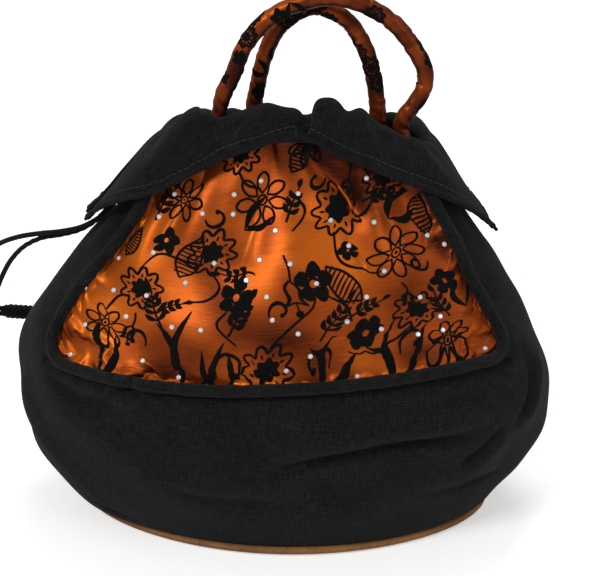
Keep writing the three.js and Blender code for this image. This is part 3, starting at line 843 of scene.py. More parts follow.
for side, facing in (("left", -QUARTER), ("right", QUARTER)):
    across = np.linspace(-1, 1, GUSSET_COLS)[None, :]
    nominal = facing + across * (QUARTER - SEAM_ANGLE)
    up = np.linspace(0, 1, GUSSET_ROWS)[:, None]
    height = lerp(SEAM_HEIGHT - 0.4, top_height(nominal) - 2.0, up)
    rise = np.maximum(0, CORNER_CENTRE - height)
    reach = np.sqrt(np.maximum(0, (CORNER_RADIUS + EDGE_INSET) ** 2 - rise ** 2))
    corner = (CORNER_START + reach) / SEAM_SCALE
    straight = SEAM_ANGLE + turn_for(EDGE_INSET, SEAM_ANGLE, height)
    edge = np.where(rise > 0, corner, straight)
    angle = facing + across * (QUARTER - edge)
    gusset = cloth_piece(f"{side}_gusset_cloth", body(angle, height, 0.0), CLOTH, BLACK)
    dress(gusset, f"{side}_gusset")


# Piping along the panels' seams
PIPING_STEPS = 420
PIPING_SIDES = 14
SIDE_STEPS = 60


def seam_line(facing):
    side_heights = np.linspace(PIPING_TOP, CORNER_CENTRE, SIDE_STEPS)
    corner_turn = np.linspace(0, QUARTER, 14)[1:]
    half_angle = np.concatenate([
        np.full(SIDE_STEPS, SEAM_ANGLE),
        (CORNER_START + CORNER_RADIUS * np.cos(corner_turn)) / SEAM_SCALE])
    half_height = np.concatenate([side_heights, CORNER_CENTRE - CORNER_RADIUS * np.sin(corner_turn)])
    flat = np.linspace(-CORNER_START, CORNER_START, 120)[1:-1] / SEAM_SCALE
    angle = np.concatenate([-half_angle, flat, half_angle[::-1]])
    height = np.concatenate([half_height, np.full(len(flat), SEAM_HEIGHT), half_height[::-1]])
    return facing + angle, height


for side, facing in SIDES:
    angle, height = seam_line(facing)
    line = smooth_path(body(angle, height, PIPING_LIFT)[::2], PIPING_STEPS)
    along = np.linspace(0, path_length(line), PIPING_STEPS)
    lumpy = PIPING_RADIUS * (1 + 0.03 * np.sin(along * 0.35) + 0.025 * np.sin(along * 0.83 + 1.0))
    piping = tube_piece(f"{side}_piping_welt", line, lumpy[:, None], PIPING_SIDES, BLACK)
    dress(piping, f"{side}_piping")


# Collar: hangs over the neck, turns over the mouth's edge and runs down inside
# Rim and hem heights, by turn
FRONT_RIM = np.array([
    (-90, 199.5), (-75, 206.5), (-62, 213), (-52, 218.5), (-44, 215), (-37, 213.6), (-31, 214.6),
    (-22, 219.5), (-12, 219), (-3, 217.4), (4, 215), (6.5, 210.8), (8.5, 218.5), (17, 221), (25, 217.4),
    (33, 219.2), (42, 213.5), (54, 206.5), (63, 202.8), (71, 201.6), (80, 200.6), (90, 199.5),
])
BACK_RIM = np.array([
    (-90, 199.5), (-70, 204), (-50, 207.5), (-36, 205), (-18, 208), (-4, 205.5), (10, 208.5), (26, 205),
    (44, 207.5), (64, 204), (90, 199.5),
])
FRONT_HEM = np.array([
    (-90, 151), (-78, 162.5), (-65, 171.5), (-53, 179), (-40, 189), (-31, 195.5), (-15, 202), (0, 207),
    (8, 206), (22, 198), (33, 193.5), (44, 188.5), (58, 181.5), (72, 171.5), (82, 160.5), (90, 149),
])
BACK_HEM = np.array([
    (-90, 154), (-72, 163), (-54, 174), (-36, 184), (-18, 190.5), (0, 192), (18, 190), (36, 184), (54, 174),
    (72, 163), (90, 154),
])
# Folds of the collar: turn at the rim, turn at the hem, outward lift, width in degrees, reach down
FRONT_FOLDS = [
    (-50, -66, 5.4, 11, 1.0), (-22, -42, -1.8, 7, 0.9), (-8, -22, 2.4, 9, 0.9), (6, 7, -0.8, 4, 0.5),
    (18, 30, 3.2, 9, 0.95), (40, 55, -1.6, 7, 0.9), (60, 76, 2.6, 9, 1.0),
]
BACK_FOLDS = [
    (-60, -70, 3.4, 11, 1.0), (-36, -50, -1.6, 8, 0.9), (-14, -20, 3.0, 10, 1.0), (6, 10, -1.4, 7, 0.8),
    (26, 36, 3.2, 10, 1.0), (58, 68, 3.0, 10, 1.0),
]


COLLAR_COLS, COLLAR_ROWS = 181, 64
COLLAR_REACH = 89.2
COLLAR_CLOTH = 1.7
NECK_HEIGHT = 212


def collar_grid(facing, rim_knots, hem_knots, folds):
    cols, rows = COLLAR_COLS, COLLAR_ROWS
    turn = np.linspace(-COLLAR_REACH, COLLAR_REACH, cols)
    angle = facing + np.radians(turn)
    rim = spline(rim_knots, turn)
    hem = spline(hem_knots, turn)
    sideways = np.sin(np.radians(turn)) ** 2
    flare = lerp(6.4, 8.6, sideways) + 0.9 * np.sin(np.radians(turn) * 9 + 0.4)
    shoulder = lerp(6.0, 4.6, smooth(60, 85, np.abs(turn)))
    swell = (flare + shoulder) / 2 + 1.0
    # Height and stand-off of each line, from the hem up, over the rim and down inside
    keys = [
        (hem, flare), (lerp(hem, rim, 0.25), lerp(flare, swell, 0.6)), (lerp(hem, rim, 0.55), swell),
        (rim - 5.0, shoulder), (rim - 1.4, shoulder - 1.9), (rim + 0.3, shoulder * 0.18),
        (rim + 0.6, np.full(cols, -1.6)), (rim - 0.4, np.full(cols, -3.8)), (rim - 4.0, np.full(cols, -4.7)),
        (rim - 15.0, np.full(cols, -4.7)),
    ]
    lines = np.array([
        skin(angle, h) + skin_normal(angle, np.minimum(h, NECK_HEIGHT)) * o[:, None] for h, o in keys])
    grid = np.stack([smooth_path(lines[:, c], rows) for c in range(cols)], axis=1)
    normals = grid_normals(grid)
    share = np.linspace(0, 1, rows)[:, None]
    drop = np.clip((rim[None, :] - grid[..., 2]) / (rim - hem)[None, :], 0, 1)
    outside = smooth(0.72, 0.5, share)
    push = np.zeros(grid.shape[:2])
    for start, end, depth, width, fade in folds:
        centre = lerp(start, end, drop)
        push += depth * np.exp(-((turn[None, :] - centre) / width) ** 2) * smooth(fade, 0.1, drop)
    ripple = 0.8 * np.sin(np.radians(turn) * 23 + 1.0)[None, :] * smooth(0.5, 0.0, drop)
    push = (push + ripple) * outside
    return grid + normals * push[..., None]


HEM_RADIUS = 1.5
HEM_DEPTH = 5.0
HEM_STEPS = 300
CASING_HALF = 4.6
CASING_TURN = 57
for side, facing, rim, hem, folds in (
        ("front", FRONT, FRONT_RIM, FRONT_HEM, FRONT_FOLDS), ("back", BACK, BACK_RIM, BACK_HEM, BACK_FOLDS)):
    grid = collar_grid(facing, rim, hem, folds)
    collar = cloth_piece(f"{side}_collar_cloth", grid, COLLAR_CLOTH, BLACK, 3)
    dress(collar, f"{side}_collar")
    hem_line = smooth_path(grid[0, 2:-2] - grid_normals(grid)[0, 2:-2] * COLLAR_CLOTH / 2, HEM_STEPS)
    hem_along = np.linspace(0, path_length(hem_line), HEM_STEPS)[:, None]
    hem_radius = HEM_RADIUS * (1 + 0.08 * np.sin(hem_along * 0.5) + 0.05 * np.sin(hem_along * 1.3))
    hem_roll = tube_piece(f"{side}_collar_hem", hem_line, hem_radius, 12, BLACK)
    dress(hem_roll)
    rise = np.linalg.norm(grid[:14] - grid[0], axis=-1)
    row = np.argmax(rise > HEM_DEPTH, axis=0)
    columns = np.arange(3, grid.shape[1] - 3)
    seam = stitch_piece(f"{side}_collar_stitches", grid[row[columns], columns],
                        grid_normals(grid)[row[columns], columns], THREAD)
    dress(seam)

    turn = np.linspace(-CASING_TURN, CASING_TURN, 141)
    angle = facing + np.radians(turn)
    arch = np.linspace(-1, 1, 15)[:, None]
    height = top_height(angle)[None, :] - CASING_DROP + CASING_HALF * arch
    lift = 1.6 + 3.7 * (1 - arch ** 2) ** 0.8 + 0.25 * np.sin(np.radians(turn) * 60)[None, :]
    tunnel_angle = np.broadcast_to(angle, height.shape)
    tunnel_grid = skin(tunnel_angle, height) + skin_normal(tunnel_angle, height) * lift[..., None]
    casing = cloth_piece(f"{side}_casing_cloth", tunnel_grid, 0.9, BLACK, 1)
    dress(casing, f"{side}_casing")


# Lining: a slack cup inside the cloth
LINING_COLS, LINING_ROWS = 180, 60
LINING_INSET = 3.2
LINING_FLOOR = 7.2


def lining_grid():
    angle = np.linspace(0, FULL_TURN, LINING_COLS, endpoint=False)[None, :]
    up = np.linspace(0, 1, LINING_ROWS)[:, None]
    height = lerp(8.0, top_height(angle) - 5.0, up)
    angle = np.broadcast_to(angle, height.shape)
    walls = body(angle, height, -LINING_INSET)
    floor_share = np.array([0.05, 0.3, 0.6, 0.82, 0.95])[:, None, None]
    centre = np.array((0.0, 0.0, LINING_FLOOR))
    floor = centre + (walls[0] - centre) * floor_share
    floor[..., 2] = LINING_FLOOR
    return np.concatenate([floor, walls])


lining = cloth_piece("lining_cloth_cup", lining_grid(), 0.8, LINING, 1, closed=True)
dress(lining, "lining")


# Base: a brown panel with a rounded rim, as inset and height of each ring
BASE_SIDES = 200
BASE_PROFILE = [
    (62, 0.0), (30, 0.0), (8, 0.0), (0.4, 0.1), (-1.4, 0.8), (-2.4, 2.1), (-2.1, 3.4), (-0.9, 4.3),
    (2.0, 4.2), (9, 4.0), (30, 4.0), (62, 4.0),
]
BASE_EVEN_INSET = 6


def base_grid():
    turn = np.linspace(0, FULL_TURN, BASE_SIDES, endpoint=False)
    rim = skin(turn, np.zeros(BASE_SIDES))[:, :2]
    out = unit(skin_normal(turn, np.full(BASE_SIDES, BASE_HEIGHT))[:, :2])
    rows = []
    for inset, height in BASE_PROFILE:
        ring = rim - out * min(inset, BASE_EVEN_INSET) - rim * max(0, inset - BASE_EVEN_INSET) / 66
        rows.append(np.column_stack([ring, np.full(BASE_SIDES, height)]))
    return np.array(rows)


rings = base_grid()
base_points = np.vstack([rings.reshape(-1, 3), [(0, 0, 0)], [(0, 0, BASE_HEIGHT)]])
base_faces = ring_quads(len(rings), BASE_SIDES)
last_ring = (len(rings) - 1) * BASE_SIDES
for c in range(BASE_SIDES):
    n = (c + 1) % BASE_SIDES
    base_faces.append((len(base_points) - 2, n, c))
    base_faces.append((len(base_points) - 1, last_ring + c, last_ring + n))
base = add_mesh("base_panel_leather", base_points, base_faces, None, [BROWN])
dress(base, "base_panel")


# Handles: cloth tubes over a core, with kinks and a root at each end
HANDLES = {
    "front": {"left": (-28.295, -6.660, 222.431), "right": (56.494, -3.178, 209.853),
              "centre": 22, "span": 47, "spring": 217.0, "rise": 52, "angles": (-37, 70)},
    "back": {"left": (-14.336, 6.901, 212.783), "right": (45.869, 6.805, 211.352),
             "centre": 16, "span": 28, "spring": 217.0, "rise": 45, "angles": (-160, 137)},
}
HANDLE_RADIUS = 3.9
HANDLE_STEPS = 300
HANDLE_SIDES = 20
SLEEVE_INSET = 3.0
KINK_PITCH = 15.5
CUFF_STEPS = 60
CUFF_RADIUS = 3.55
FOOT_DROP, FOOT_INSET = 12.5, 8.15


def handle_path(data):
    left, right = np.array(data["left"]), np.array(data["right"])
    points = [left]
    for degrees in (165, 145, 120, 90, 60, 35, 15):
        turn = math.radians(degrees)
        x = data["centre"] + data["span"] * math.cos(turn)
        share = np.clip((x - left[0]) / (right[0] - left[0]), 0, 1)
        points.append((x, lerp(left[1], right[1], share), data["spring"] + data["rise"] * math.sin(turn)))
    return smooth_path(points + [right], HANDLE_STEPS)


handle_rings = {}
for side, data in HANDLES.items():
    path = handle_path(data)
    length = path_length(path)
    keep = np.linspace(0, length, HANDLE_STEPS)
    sleeve_path = path[(keep > SLEEVE_INSET) & (keep < length - SLEEVE_INSET)]
    along = np.linspace(0, path_length(sleeve_path), len(sleeve_path))[:, None]
    turn = np.arange(HANDLE_SIDES)[None, :] * FULL_TURN / HANDLE_SIDES
    radius = np.full((len(sleeve_path), HANDLE_SIDES), HANDLE_RADIUS - 0.05)
    kinks = np.arange(9, along.max() - 5, KINK_PITCH)
    for place in kinks + rng.uniform(-3, 3, len(kinks)):
        slant = 0.9 * np.sin(turn + rng.uniform(0, 6))
        pinch = np.exp(-((along - place - slant) / 0.9) ** 2)
        radius = radius - 0.34 * pinch * (0.65 + 0.35 * np.cos(turn + rng.uniform(0, 6)))
        radius = radius + 0.1 * np.exp(-((along - place - slant - 2.2) / 1.4) ** 2)
    radius = radius + 0.1 * np.sin(along * 0.9 + 2 * turn) - 0.25 * smooth(3, 0, along)
    radius = radius - 0.25 * smooth(along.max() - 3, along.max(), along)
    sleeve = tube_piece(f"{side}_handle_sleeve_cloth", sleeve_path, radius, HANDLE_SIDES, HANDLE_SATIN)
    handle_rings[side] = (sleeve_path, radius)
    dress(sleeve, f"{side}_handle_sleeve", f"{side}_handle")
    for end, degrees, way in zip(("left", "right"), data["angles"], (1, -1)):
        pivot = np.array(data[end])
        angle = math.radians(degrees)
        foot_height = float(top_height(angle)) - FOOT_DROP
        foot = skin(angle, foot_height) + skin_normal(angle, foot_height) * -FOOT_INSET
        reach = sleeve_path[::way]
        cuff_route = [foot, lerp(foot, pivot, 0.5), pivot - (0, 0, 3.0), reach[2], reach[9]]
        cuff_path = smooth_path(cuff_route, CUFF_STEPS)
        cuff_along = np.linspace(0, 1, CUFF_STEPS)[:, None]
        cuff_radius = CUFF_RADIUS + 0.5 * smooth(0.55, 0.8, cuff_along)
        cuff_radius = cuff_radius + 0.15 * np.sin(cuff_along * 40 + 2 * turn)
        cuff_radius = cuff_radius - 0.3 * smooth(0.97, 1, cuff_along)
        tab_name = f"{side}_{end}_handle_tab"
        tab = tube_piece(tab_name + "_cloth", cuff_path, cuff_radius, HANDLE_SIDES, HANDLE_SATIN)
        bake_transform(tab)
        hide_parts(tab_name)


# Print: raised flock motifs drawn as strokes and blobs, laid on the panels and the handles
FLOCK_RISE = 0.28
FLOCK_SINK = -0.12
MOTIF_SCALE = 1.22
LINE_SCALE = 1.3


class Surface:
    """Places a point of the flat print, in millimetres, on a panel's cloth."""

    def __init__(self, grid):
        self.grid = grid
        self.normals = grid_normals(grid)
        rows, cols = grid.shape[:2]
        steps = np.linalg.norm(np.diff(grid, axis=1), axis=-1)
        across = np.hstack([np.zeros((rows, 1)), np.cumsum(steps, axis=1)])
        self.across = across - across[:, cols // 2][:, None]
        self.up = lengths_along(grid[:, cols // 2])

    def locate(self, flat):
        row = np.interp(flat[:, 1], self.up, np.arange(len(self.up)))
        low = np.clip(row.astype(int), 0, len(self.up) - 2)
        part = row - low
        cols = np.arange(self.grid.shape[1])
        col = np.zeros(len(flat))
        good = (flat[:, 1] > 0.2) & (flat[:, 1] < self.up[-1] - 6.0)
        for k in range(len(flat)):
            line = lerp(self.across[low[k]], self.across[low[k] + 1], part[k])
            col[k] = np.interp(flat[k, 0], line, cols)
            good[k] &= line[0] + 1.5 < flat[k, 0] < line[-1] - 1.5
        left = np.clip(col.astype(int), 0, self.grid.shape[1] - 2)
        share = (col - left)[:, None]
        part = part[:, None]

        def mix(values):
            lower = lerp(values[low, left], values[low, left + 1], share)
            upper = lerp(values[low + 1, left], values[low + 1, left + 1], share)
            return lerp(lower, upper, part)
        return mix(self.grid), unit(mix(self.normals)), good


class TubeSurface:
    """Places a point of the flat print on a handle: across is round the tube, up is along it."""

    def __init__(self, path, radius):
        _, self.side, self.over = frames_along(path)
        self.path = path
        self.radius = radius
        self.up = lengths_along(path)

    def locate(self, flat):
        row = np.interp(flat[:, 1], self.up, np.arange(len(self.up)))
        low = np.clip(row.astype(int), 0, len(self.up) - 2)
        part = (row - low)[:, None]
        turn = flat[:, 0] / HANDLE_RADIUS
        side = unit(lerp(self.side[low], self.side[low + 1], part))
        over = unit(lerp(self.over[low], self.over[low + 1], part))
        spoke = side * np.cos(turn)[:, None] + over * np.sin(turn)[:, None]
        col = np.mod(turn / FULL_TURN * HANDLE_SIDES, HANDLE_SIDES)
        a = col.astype(int) % HANDLE_SIDES
        b = (a + 1) % HANDLE_SIDES
        share = col - col.astype(int)
        reach = lerp(lerp(self.radius[low, a], self.radius[low, b], share),
                     lerp(self.radius[low + 1, a], self.radius[low + 1, b], share), part[:, 0])
        good = (flat[:, 1] > 0.8) & (flat[:, 1] < self.up[-1] - 0.8)
        return lerp(self.path[low], self.path[low + 1], part) + spoke * reach[:, None], spoke, good


class Print:
    """A raised print, gathered stroke by stroke and made into one piece."""

    def __init__(self, surface):
        self.surface = surface
        self.points, self.faces, self.count = [], [], 0

    def add(self, flat, quads):
        """A patch of flat points with its faces, closed below and round its rim."""
        flat = np.asarray(flat, dtype=float)
        place, normal, good = self.surface.locate(flat)
        used = [q for q in quads if all(good[i] for i in q)]
        if not used:
            return
        size = len(flat)
        base = self.count
        self.points += [place + normal * FLOCK_RISE, place + normal * FLOCK_SINK]
        self.count += 2 * size
        edges = {}
        for q in used:
            self.faces.append(tuple(base + i for i in q))
            self.faces.append(tuple(base + size + i for i in reversed(q)))
            for a, b in zip(q, (*q[1:], q[0])):
                edges[(a, b)] = True
        for a, b in edges:
            if (b, a) not in edges:
                self.faces.append((base + b, base + a, base + size + a, base + size + b))

    def stroke(self, points, widths, lanes=1):
        """A line of varying width through the points."""
        points = np.asarray(points, dtype=float)
        rough = np.linalg.norm(np.diff(points, axis=0), axis=1).sum()
        count = max(5, int(rough / 0.9))
        line = smooth_path(points, count)
        tangent = unit(np.gradient(line, axis=0))
        side = np.stack([-tangent[:, 1], tangent[:, 0]], axis=-1)
        width = np.interp(np.linspace(0, 1, count), np.linspace(0, 1, len(widths)), widths) / 2
        width = width * (LINE_SCALE if lanes == 1 else 1.0)
        n = lanes + 2
        lane = np.linspace(1, -1, n)
        flat = (line[:, None] + side[:, None] * (lane[None, :, None] * width[:, None, None])).reshape(-1, 2)
        quads = [(r * n + c, r * n + c + 1, (r + 1) * n + c + 1, (r + 1) * n + c)
                 for r in range(count - 1) for c in range(n - 1)]
        self.add(flat, [q[::-1] for q in quads])

    def blob(self, centre, outline):
        """A filled shape, given as a reach for each turn round its centre."""
        count = len(outline)
        turn = np.arange(count) * FULL_TURN / count
        way = np.stack([np.cos(turn), np.sin(turn)], axis=-1) * np.asarray(outline)[:, None]
        rings = 4
        flat = [np.asarray(centre)[None, :]]
        flat += [centre + way * k / rings for k in range(1, rings + 1)]
        flat = np.vstack(flat)
        quads = [(0, 1 + c, 1 + (c + 1) % count) for c in range(count)]
        for k in range(rings - 1):
            a, b = 1 + k * count, 1 + (k + 1) * count
            quads += [(a + c, b + c, b + (c + 1) % count, a + (c + 1) % count) for c in range(count)]
        self.add(flat, quads)

    def piece(self, name):
        points = np.vstack(self.points)
        used = np.unique(np.concatenate([np.asarray(f) for f in self.faces]))
        renumber = np.zeros(len(points), dtype=int)
        renumber[used] = np.arange(len(used))
        faces = [tuple(renumber[list(f)]) for f in self.faces]
        return add_mesh(name, points[used], faces, None, [FLOCK])


def turned(points, centre, angle, size=1.0):
    c, s = math.cos(angle) * size, math.sin(angle) * size
    points = np.asarray(points, dtype=float)
    return np.stack([centre[0] + points[:, 0] * c - points[:, 1] * s,
                     centre[1] + points[:, 0] * s + points[:, 1] * c], axis=-1)


def ring_points(centre, reach):
    turn = np.linspace(0, FULL_TURN, len(reach), endpoint=False)
    line = np.stack([np.cos(turn), np.sin(turn)], axis=-1) * np.asarray(reach)[:, None] + centre
    return np.vstack([line, line[:1]])


def lobes(count, low, high, teeth, phase=0.0, sharp=1.0):
    turn = np.linspace(0, FULL_TURN, count, endpoint=False)
    wave = (0.5 + 0.5 * np.cos(teeth * turn + phase)) ** sharp
    return low + (high - low) * wave


def crown_flower(art, centre, size, phase=0.0):
    """A toothed outline round a ragged solid heart."""
    centre = np.asarray(centre, dtype=float)
    outline = ring_points(centre, size * lobes(90, 0.68, 1.0, 9, phase, 0.8))
    art.stroke(outline, [0.95, 1.15, 0.85, 1.05, 0.95])
    art.blob(centre, size * lobes(54, 0.36, 0.5, 7, phase + 1.0, 0.7))
    for k in range(9):
        way = (FULL_TURN * k - phase) / 9
        art.stroke(turned([(0.52, 0), (0.6, 0.01), (0.7, 0)], centre, way, size), [0.5, 0.8, 0.3])


def open_daisy(art, centre, size, petals=7, phase=0.0):
    """Looped petals round a small ring."""
    centre = np.asarray(centre, dtype=float)
    loop = [(0.24, 0.0), (0.5, 0.19), (0.85, 0.17), (1.0, 0.0), (0.85, -0.17), (0.5, -0.19), (0.24, 0.0)]
    for k in range(petals):
        way = phase + FULL_TURN * k / petals
        art.stroke(turned(loop, centre, way, size), [0.7, 0.8, 0.95, 0.8, 0.7])
    art.stroke(ring_points(centre, np.full(20, 0.17 * size)), [0.7, 0.7])
    art.blob(centre, np.full(12, 0.06 * size))


def solid_flower(art, centre, size, petals=5, phase=0.0):
    """Round solid petals that leave an open eye."""
    centre = np.asarray(centre, dtype=float)
    for k in range(petals):
        way = phase + FULL_TURN * k / petals
        middle = centre + 0.62 * size * np.array((math.cos(way), math.sin(way)))
        art.blob(middle, 0.4 * size * lobes(22, 0.84, 1.06, 3, k))
    art.stroke(ring_points(centre, np.full(18, 0.26 * size)), [0.9, 0.9])


def leaf(art, base, way, length, width, bend=0.15):
    art.stroke(turned([(0, 0), (0.5, bend), (1, 0.1 * bend)], base, way, length),
               [0.4, width * 0.75, width, width * 0.7, 0.3], 3)


def hatched_leaf(art, base, way, length, width):
    edge = [(0, 0), (0.3, 0.5), (0.65, 0.46), (1, 0.0)]
    ratio = width / length
    for flip in (1, -1):
        art.stroke(turned([(x, flip * y * ratio) for x, y in edge], base, way, length), [0.8, 0.9, 0.7])
    for x in np.linspace(0.14, 0.88, 9):
        half = 0.5 * ratio * math.sin(math.pi * min(1.0, x * 0.92 + 0.08)) ** 0.7
        rib = [(x - 0.05, half), (x, 0), (x + 0.03, -half)]
        art.stroke(turned(rib, base, way, length), [0.55, 0.75, 0.5])


def bell_bud(art, top, way, length):
    """A stem that hangs a bell with a drop below it."""
    art.stroke(turned([(0, 0), (0.2, 0.05), (0.4, 0.03)], top, way, length), [0.8, 0.8])
    for flip in (1, -1):
        side = [(0.4, 0.0), (0.52, 0.12 * flip), (0.7, 0.1 * flip), (0.82, 0.2 * flip)]
        art.stroke(turned(side, top, way, length), [0.7, 1.3, 1.6, 0.4])
    art.stroke(turned([(0.82, 0.2), (0.76, 0.0), (0.82, -0.2)], top, way, length), [0.5, 0.8, 0.5])
    art.stroke(turned([(0.76, 0), (0.9, 0.02)], top, way, length), [0.6, 0.6])
    art.blob(turned([(0.96, 0.02)], top, way, length)[0], 0.065 * length * lobes(16, 0.8, 1.15, 1, 0.3))


def curl(art, base, way, size, flip=1):
    turn = np.linspace(0, 2.9 * math.pi / 2, 14)
    reach = 1 - 0.62 * turn / turn[-1]
    spiral = np.stack([0.55 + 0.5 * reach * np.cos(math.pi - turn),
                       flip * 0.5 * reach * np.sin(math.pi - turn)], axis=-1)
    art.stroke(turned(spiral, base, way, size), [0.5, 1.1, 1.5, 1.2, 0.8])
    art.blob(turned(spiral[-1:], base, way, size)[0], np.full(12, 0.1 * size))


def spray(art, base, way, length, pairs=4, width=2.0):
    art.stroke(turned([(0, 0), (0.5, 0.06), (1, 0)], base, way, length), [0.9, 0.7, 0.5])
    for k in range(pairs):
        stem = turned([(0.25 + 0.62 * k / pairs, 0.05)], base, way, length)[0]
        for flip in (1, -1):
            leaf(art, stem, way + flip * 0.75, length * (0.3 - 0.03 * k), width, 0.12 * flip)
    leaf(art, turned([(0.95, 0)], base, way, length)[0], way, length * 0.24, width)


def fan_blades(art, base, way, length, count=3, spread_by=0.5, width=3.4):
    for k in range(count):
        turn = way + spread_by * (k - (count - 1) / 2)
        leaf(art, base, turn, length * (1 - 0.12 * abs(k - 1)), width, 0.16 * (1 if k % 2 else -1))


# The panel's own layout of motifs: across and up in millimetres, then sizes, turns and counts
CROWNS = [
    (-70, 44, 9.5, 0.2), (-34, 66, 10, 1.0), (24, 86, 10.5, 2.0), (66, 30, 10, 0.4), (-4, 9, 11, 1.5),
    (47, 104, 8, 0.9), (-26, 112, 8, 2.4),
]
DAISIES = [
    (57, 66, 12, 8, 0.2), (-13, 91, 10.5, 7, 0.7), (-88, 18, 10, 7, 0.1), (88, 8, 10, 8, 0.4),
    (8, 118, 9, 7, 0.0), (-52, 92, 9, 7, 0.5),
]
SOLIDS = [
    (16, 52, 7.5, 5, 0.3), (-22, 42, 7, 5, 1.2), (42, 22, 7, 6, 0.0), (80, 48, 6.5, 5, 0.6),
    (-58, 70, 6, 5, 0.2), (33, 66, 4.5, 5, 0.9),
]
HATCHED = [
    (-50, 52, 65, 21, 9), (38, 40, 130, 20, 8.5), (70, 78, 100, 17, 7.5), (-80, 60, 70, 16, 7),
    (0, 104, 60, 15, 7),
]
BELLS = [(2, 64, -78, 24), (-72, 30, -100, 17), (58, 48, -75, 15), (30, 110, -95, 18)]
CURLS = [
    (-30, 6, 20, 13, 1), (28, 4, 150, 13, -1), (62, 8, 40, 11, 1), (-64, 12, 160, 11, -1),
    (-6, 34, 30, 9, 1), (74, 62, 200, 9, 1), (-40, 82, 10, 9, -1), (18, 100, 190, 8, 1),
]
SPRAYS = [
    (-56, 20, 110, 22, 4), (20, 20, 60, 21, 4), (84, 24, 120, 18, 3), (-66, 82, 60, 16, 3),
    (40, 92, 20, 15, 3), (-12, 52, 170, 15, 3), (0, 80, 75, 15, 3), (-24, 24, 60, 17, 4),
    (32, 32, 20, 15, 3), (-62, 30, 20, 14, 3),
]
FANS = [
    (-46, -2, 84, 28, 3), (24, -2, 78, 20, 3), (62, -3, 102, 24, 3), (-90, 0, 75, 15, 2),
    (-20, 78, 40, 14, 2), (92, 30, 100, 16, 2), (52, 84, 60, 15, 3), (-26, -3, 100, 17, 2),
]
STEMS = [
    [(-70, 55), (-62, 62), (-50, 62), (-40, 58)], [(24, 75), (30, 60), (44, 56), (52, 58)],
    [(-34, 56), (-30, 48), (-36, 40), (-48, 36)], [(66, 20), (58, 14), (48, 10), (36, 12)],
    [(-4, 20), (4, 28), (14, 40), (16, 46)], [(47, 96), (42, 88), (34, 84)],
    [(-26, 104), (-22, 98), (-14, 96)], [(-88, 28), (-82, 38), (-76, 40)],
    [(-20, 20), (-30, 28), (-26, 36)], [(4, 76), (8, 86), (2, 94)], [(34, 30), (30, 40), (22, 46)],
]


def panel_print(art, flip):
    def at(x, y):
        return (flip * x, y)

    def facing_way(degrees):
        return math.radians(degrees if flip > 0 else 180 - degrees)

    for x, y, size, phase in CROWNS:
        crown_flower(art, at(x, y), size * MOTIF_SCALE, phase)
    for x, y, size, petals, phase in DAISIES:
        open_daisy(art, at(x, y), size * MOTIF_SCALE, petals, phase)
    for x, y, size, petals, phase in SOLIDS:
        solid_flower(art, at(x, y), size * MOTIF_SCALE, petals, phase)
    for x, y, way, length, width in HATCHED:
        hatched_leaf(art, at(x, y), facing_way(way), length * MOTIF_SCALE, width * MOTIF_SCALE)
    for x, y, way, length in BELLS:
        bell_bud(art, at(x, y), facing_way(way), length * MOTIF_SCALE)
    for x, y, way, size, turn in CURLS:
        curl(art, at(x, y), facing_way(way), size * MOTIF_SCALE, turn * flip)
    for x, y, way, length, pairs in SPRAYS:
        spray(art, at(x, y), facing_way(way), length * MOTIF_SCALE, pairs, 2.8)
    for x, y, way, length, count in FANS:
        fan_blades(art, at(x, y), facing_way(way), length * MOTIF_SCALE, count, 0.62, 3.6)
    for line in STEMS:
        art.stroke([at(x, y) for x, y in line], [0.6, 1.0, 1.0, 0.6])


def handle_print(art, seed, length):
    """Small motifs along a handle, each at a random turn."""
    draws = np.random.default_rng(seed)
    up = 6.0
    while up < length - 6:
        place = np.array((draws.uniform(0, FULL_TURN * HANDLE_RADIUS), up))
        kind = draws.integers(0, 4)
        way = draws.uniform(0, FULL_TURN)
        if kind == 0:
            solid_flower(art, place, draws.uniform(3.2, 4.6), 5, way)
        elif kind == 1:
            spray(art, place, way, draws.uniform(9, 13), 2, 1.7)
        elif kind == 2:
            crown_flower(art, place, draws.uniform(4.5, 6), way)
        else:
            fan_blades(art, place, way, draws.uniform(8, 12), 2, 0.7, 2.6)
        up += draws.uniform(6.0, 10.0)


STONE_SIDES = 8
# Rings of a stone: reach, height and shift of the corners
STONE_RINGS = [(1.25, -0.2, 0), (1.25, 0.4, 0), (0.75, 0.95, 0.5)]
STONE_SHARES = [0, 0, 1, 1, 2, 3]
STONE_SPACING, STONE_RISE = 23.0, 18.0


def stones_piece(name, surface, places):
    points, faces, looks = [], [], []
    flat = np.array(places, dtype=float)
    centres, normals, good = surface.locate(flat)
    for k in np.flatnonzero(good):
        normal = normals[k]
        side = unit(np.cross(normal, (0.3, 0.5, 0.8)))
        over = np.cross(normal, side)
        base = len(points)
        for reach, height, shift in STONE_RINGS:
            for c in range(STONE_SIDES):
                turn = (c + shift) * FULL_TURN / STONE_SIDES
                spoke = side * math.cos(turn) + over * math.sin(turn)
                points.append(centres[k] + spoke * reach + normal * height)
        made = []
        for r in range(2):
            for c in range(STONE_SIDES):
                n = (c + 1) % STONE_SIDES
                a, b = base + r * STONE_SIDES, base + (r + 1) * STONE_SIDES
                made.append((a + c, a + n, b + c))
                made.append((a + n, b + n, b + c))
        made.append(tuple(base + c for c in range(STONE_SIDES))[::-1])
        made.append(tuple(base + 2 * STONE_SIDES + c for c in range(STONE_SIDES)))
        faces += made
        looks += [int(rng.choice(STONE_SHARES))] * len(made)
    piece = add_mesh(name, points, faces, None, STONES, looks)
    piece.data.polygons.foreach_set("use_smooth", np.zeros(len(faces), dtype=bool))
    return piece


stone_places = []
for row in range(7):
    for col in range(-5, 6):
        x = (col + 0.5 * (row % 2)) * STONE_SPACING + rng.uniform(-8, 8)
        stone_places.append((x, 9 + row * STONE_RISE + rng.uniform(-7, 7)))

